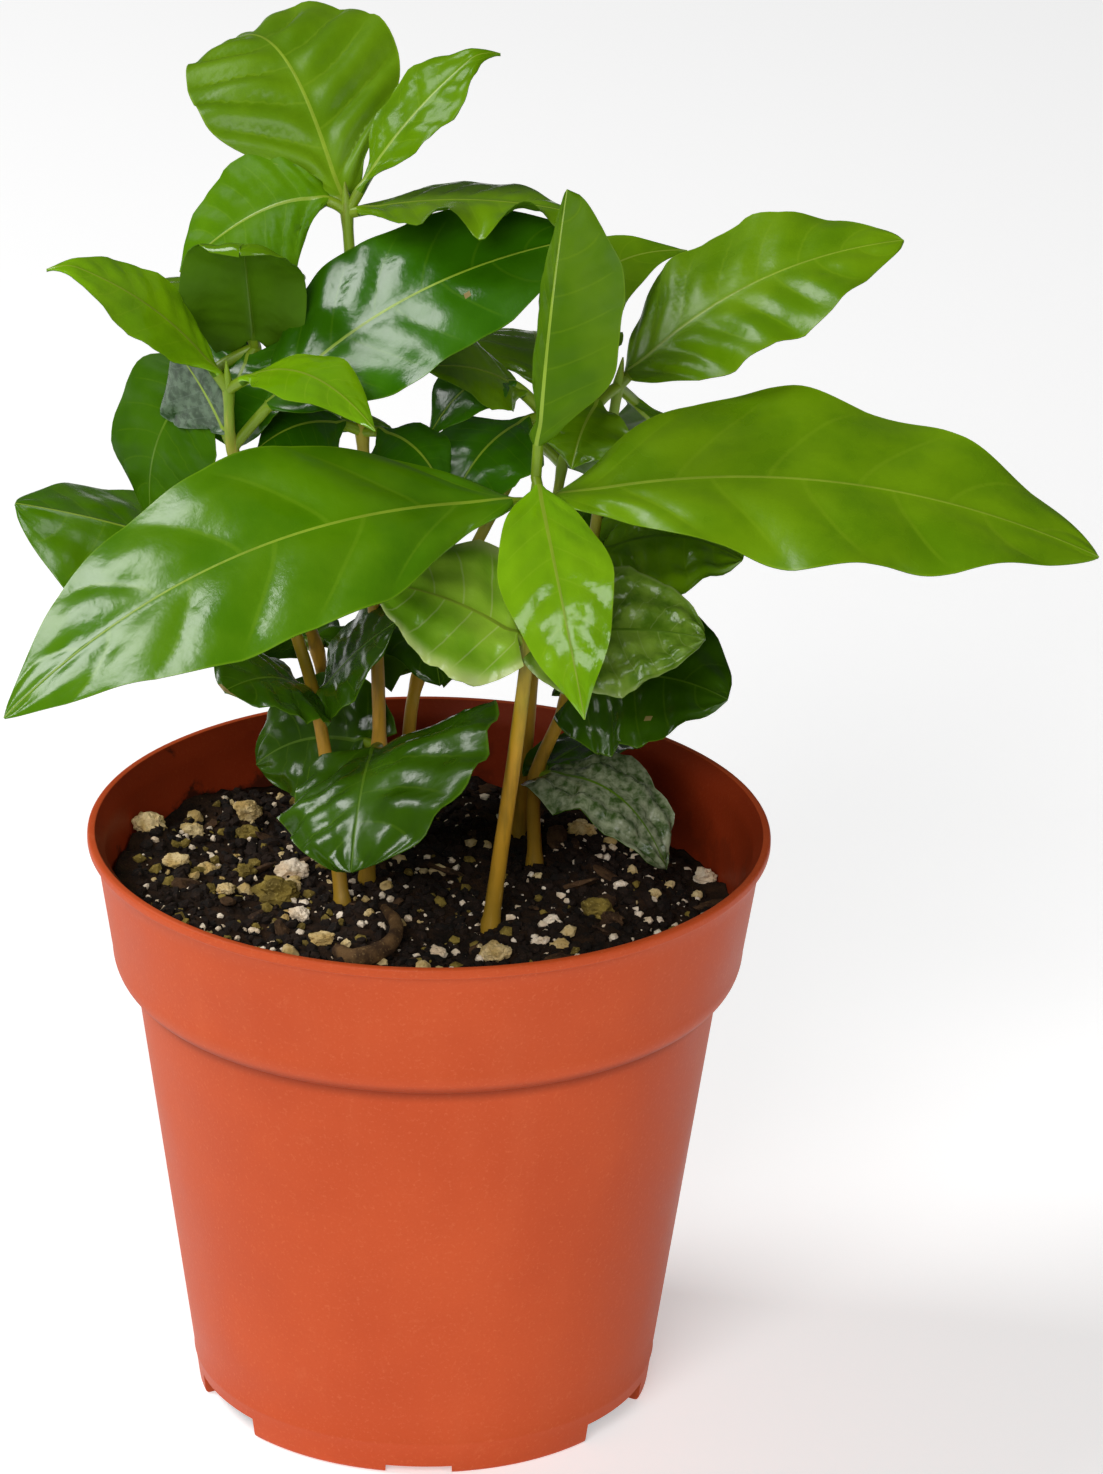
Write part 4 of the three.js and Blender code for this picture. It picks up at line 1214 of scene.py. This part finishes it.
def leafFaces(one, corner):
    # the skin's faces with a fan at each end, and where their corners lie on the flat pattern
    rows, columns = one["across"].shape
    u = corner[0] + one["girth"] * np.arange(columns + 1) / columns
    v = corner[1] + one["length"] * np.arange(rows) / (rows - 1)
    row, column = np.meshgrid(np.arange(rows - 1), np.arange(columns), indexing="ij")
    turns = ((0, 0), (0, 1), (1, 1), (1, 0))
    quads = np.stack([(row + i) * columns + (column + j) % columns for i, j in turns], axis=-1)
    flat = np.stack([np.stack([u[column + j], v[row + i]], -1) for i, j in turns], axis=-2)
    # both skins split along the same diagonal, so that neither pokes through the other
    lower = columns // 2
    quads[:, lower:] = np.roll(quads[:, lower:], 1, axis=-1)
    flat[:, lower:] = np.roll(flat[:, lower:], 1, axis=-2)
    steps = [(i, (i + 1) % columns) for i in range(columns)]
    root = rows * columns
    last = root - columns
    fans = [(root, j, i) for i, j in steps] + [(root + 1, last + i, last + j) for i, j in steps]
    middle = corner[0] + one["girth"] / 2
    low = v[0] - blade["capReach"]
    high = v[-1] + blade["capReach"]
    fanFlat = [((middle, low), (u[i + 1], v[0]), (u[i], v[0])) for i in range(columns)]
    fanFlat += [((middle, high), (u[i], v[-1]), (u[i + 1], v[-1])) for i in range(columns)]
    return quads.reshape(-1, 4).tolist() + fans, [flat.reshape(-1, 2), np.array(fanFlat).reshape(-1, 2)]


def leafFinishes(one, order):
    # which finish each face has, as its place in the order
    rows, columns = one["across"].shape
    lower = columns // 2
    picked = np.full((rows - 1, columns), order.index("underside"))
    picked[:, :lower - 1] = order.index(one["tone"])
    for centre in (one["centre"], columns - 1 - one["centre"]):
        picked[:, centre - 2:centre + 2] = order.index(one["rib"])
    for far, across, reach, half in one["scars"]:
        near = (np.abs(one["far"] - far) < reach) & (np.abs(one["across"] - across) < half)
        near[:, lower:] = False
        picked[near[:-1]] = order.index("scar")
    picked[one["stalk"][1:]] = order.index("petiole")
    fans = np.repeat([order.index("petiole"), order.index(one["tone"])], columns)
    return np.concatenate([picked.ravel(), fans])


def leafMesh(name, leaves, finishes):
    order = sorted({one["tone"] for one in leaves}) + sorted({one["rib"] for one in leaves})
    order += ["petiole", "underside", "scar"]
    places, square = shelve([(one["girth"], one["length"]) for one in leaves], blade["patternGap"])
    vertices = []
    faces = []
    flat = []
    base = 0
    for one, corner in zip(leaves, places):
        ring = one["ring"]
        vertices += [ring.reshape(-1, 3), [ring[0].mean(0), ring[-1].mean(0)]]
        skin, pattern = leafFaces(one, corner)
        faces += [[base + i for i in face] for face in skin]
        flat += pattern
        base += one["across"].size + 2
    mesh = plainMesh(name, (np.vstack(vertices) * mm).tolist(), faces)
    for finish in order:
        mesh.materials.append(finishes[finish])
    picked = np.concatenate([leafFinishes(one, order) for one in leaves])
    mesh.polygons.foreach_set("material_index", picked.astype(np.int32))
    layer = mesh.uv_layers.new(name="OFBake")
    layer.data.foreach_set("uv", (np.vstack(flat) / square).astype(np.float32).ravel())
    for label, key in (("veinPhase", "phase"), ("acrossShare", "across")):
        writeValues(mesh, label, np.concatenate([np.append(one[key], [0.0, 0.0]) for one in leaves]))
    mesh.shade_smooth()
    mesh.set_sharp_from_angle(angle=math.radians(blade["sharpAngle"]))
    return mesh


def makeLeaves():
    finishes = {name: leafFinish(name + "Leaf", tone) for name, tone in tones.items()}
    finishes.update({name: skinFinish(name + "Skin", **skin) for name, skin in skins.items()})
    for name, seedling in seedlings.items():
        leaves = []
        for _, at, specs in seedling["tiers"]:
            leaves += [growLeaf(at, spec, order) for order, spec in enumerate(specs)]
        mesh = leafMesh(name + "Leaves", leaves, finishes)
        nodes = [name + "_" + tier[0] for tier in seedling["tiers"]]
        addPiece(name + "Leaves", mesh, nodes)
        print(name, "leaves made,", len(mesh.polygons), "faces")


makeLeaves()

bpy.context.view_layer.update()
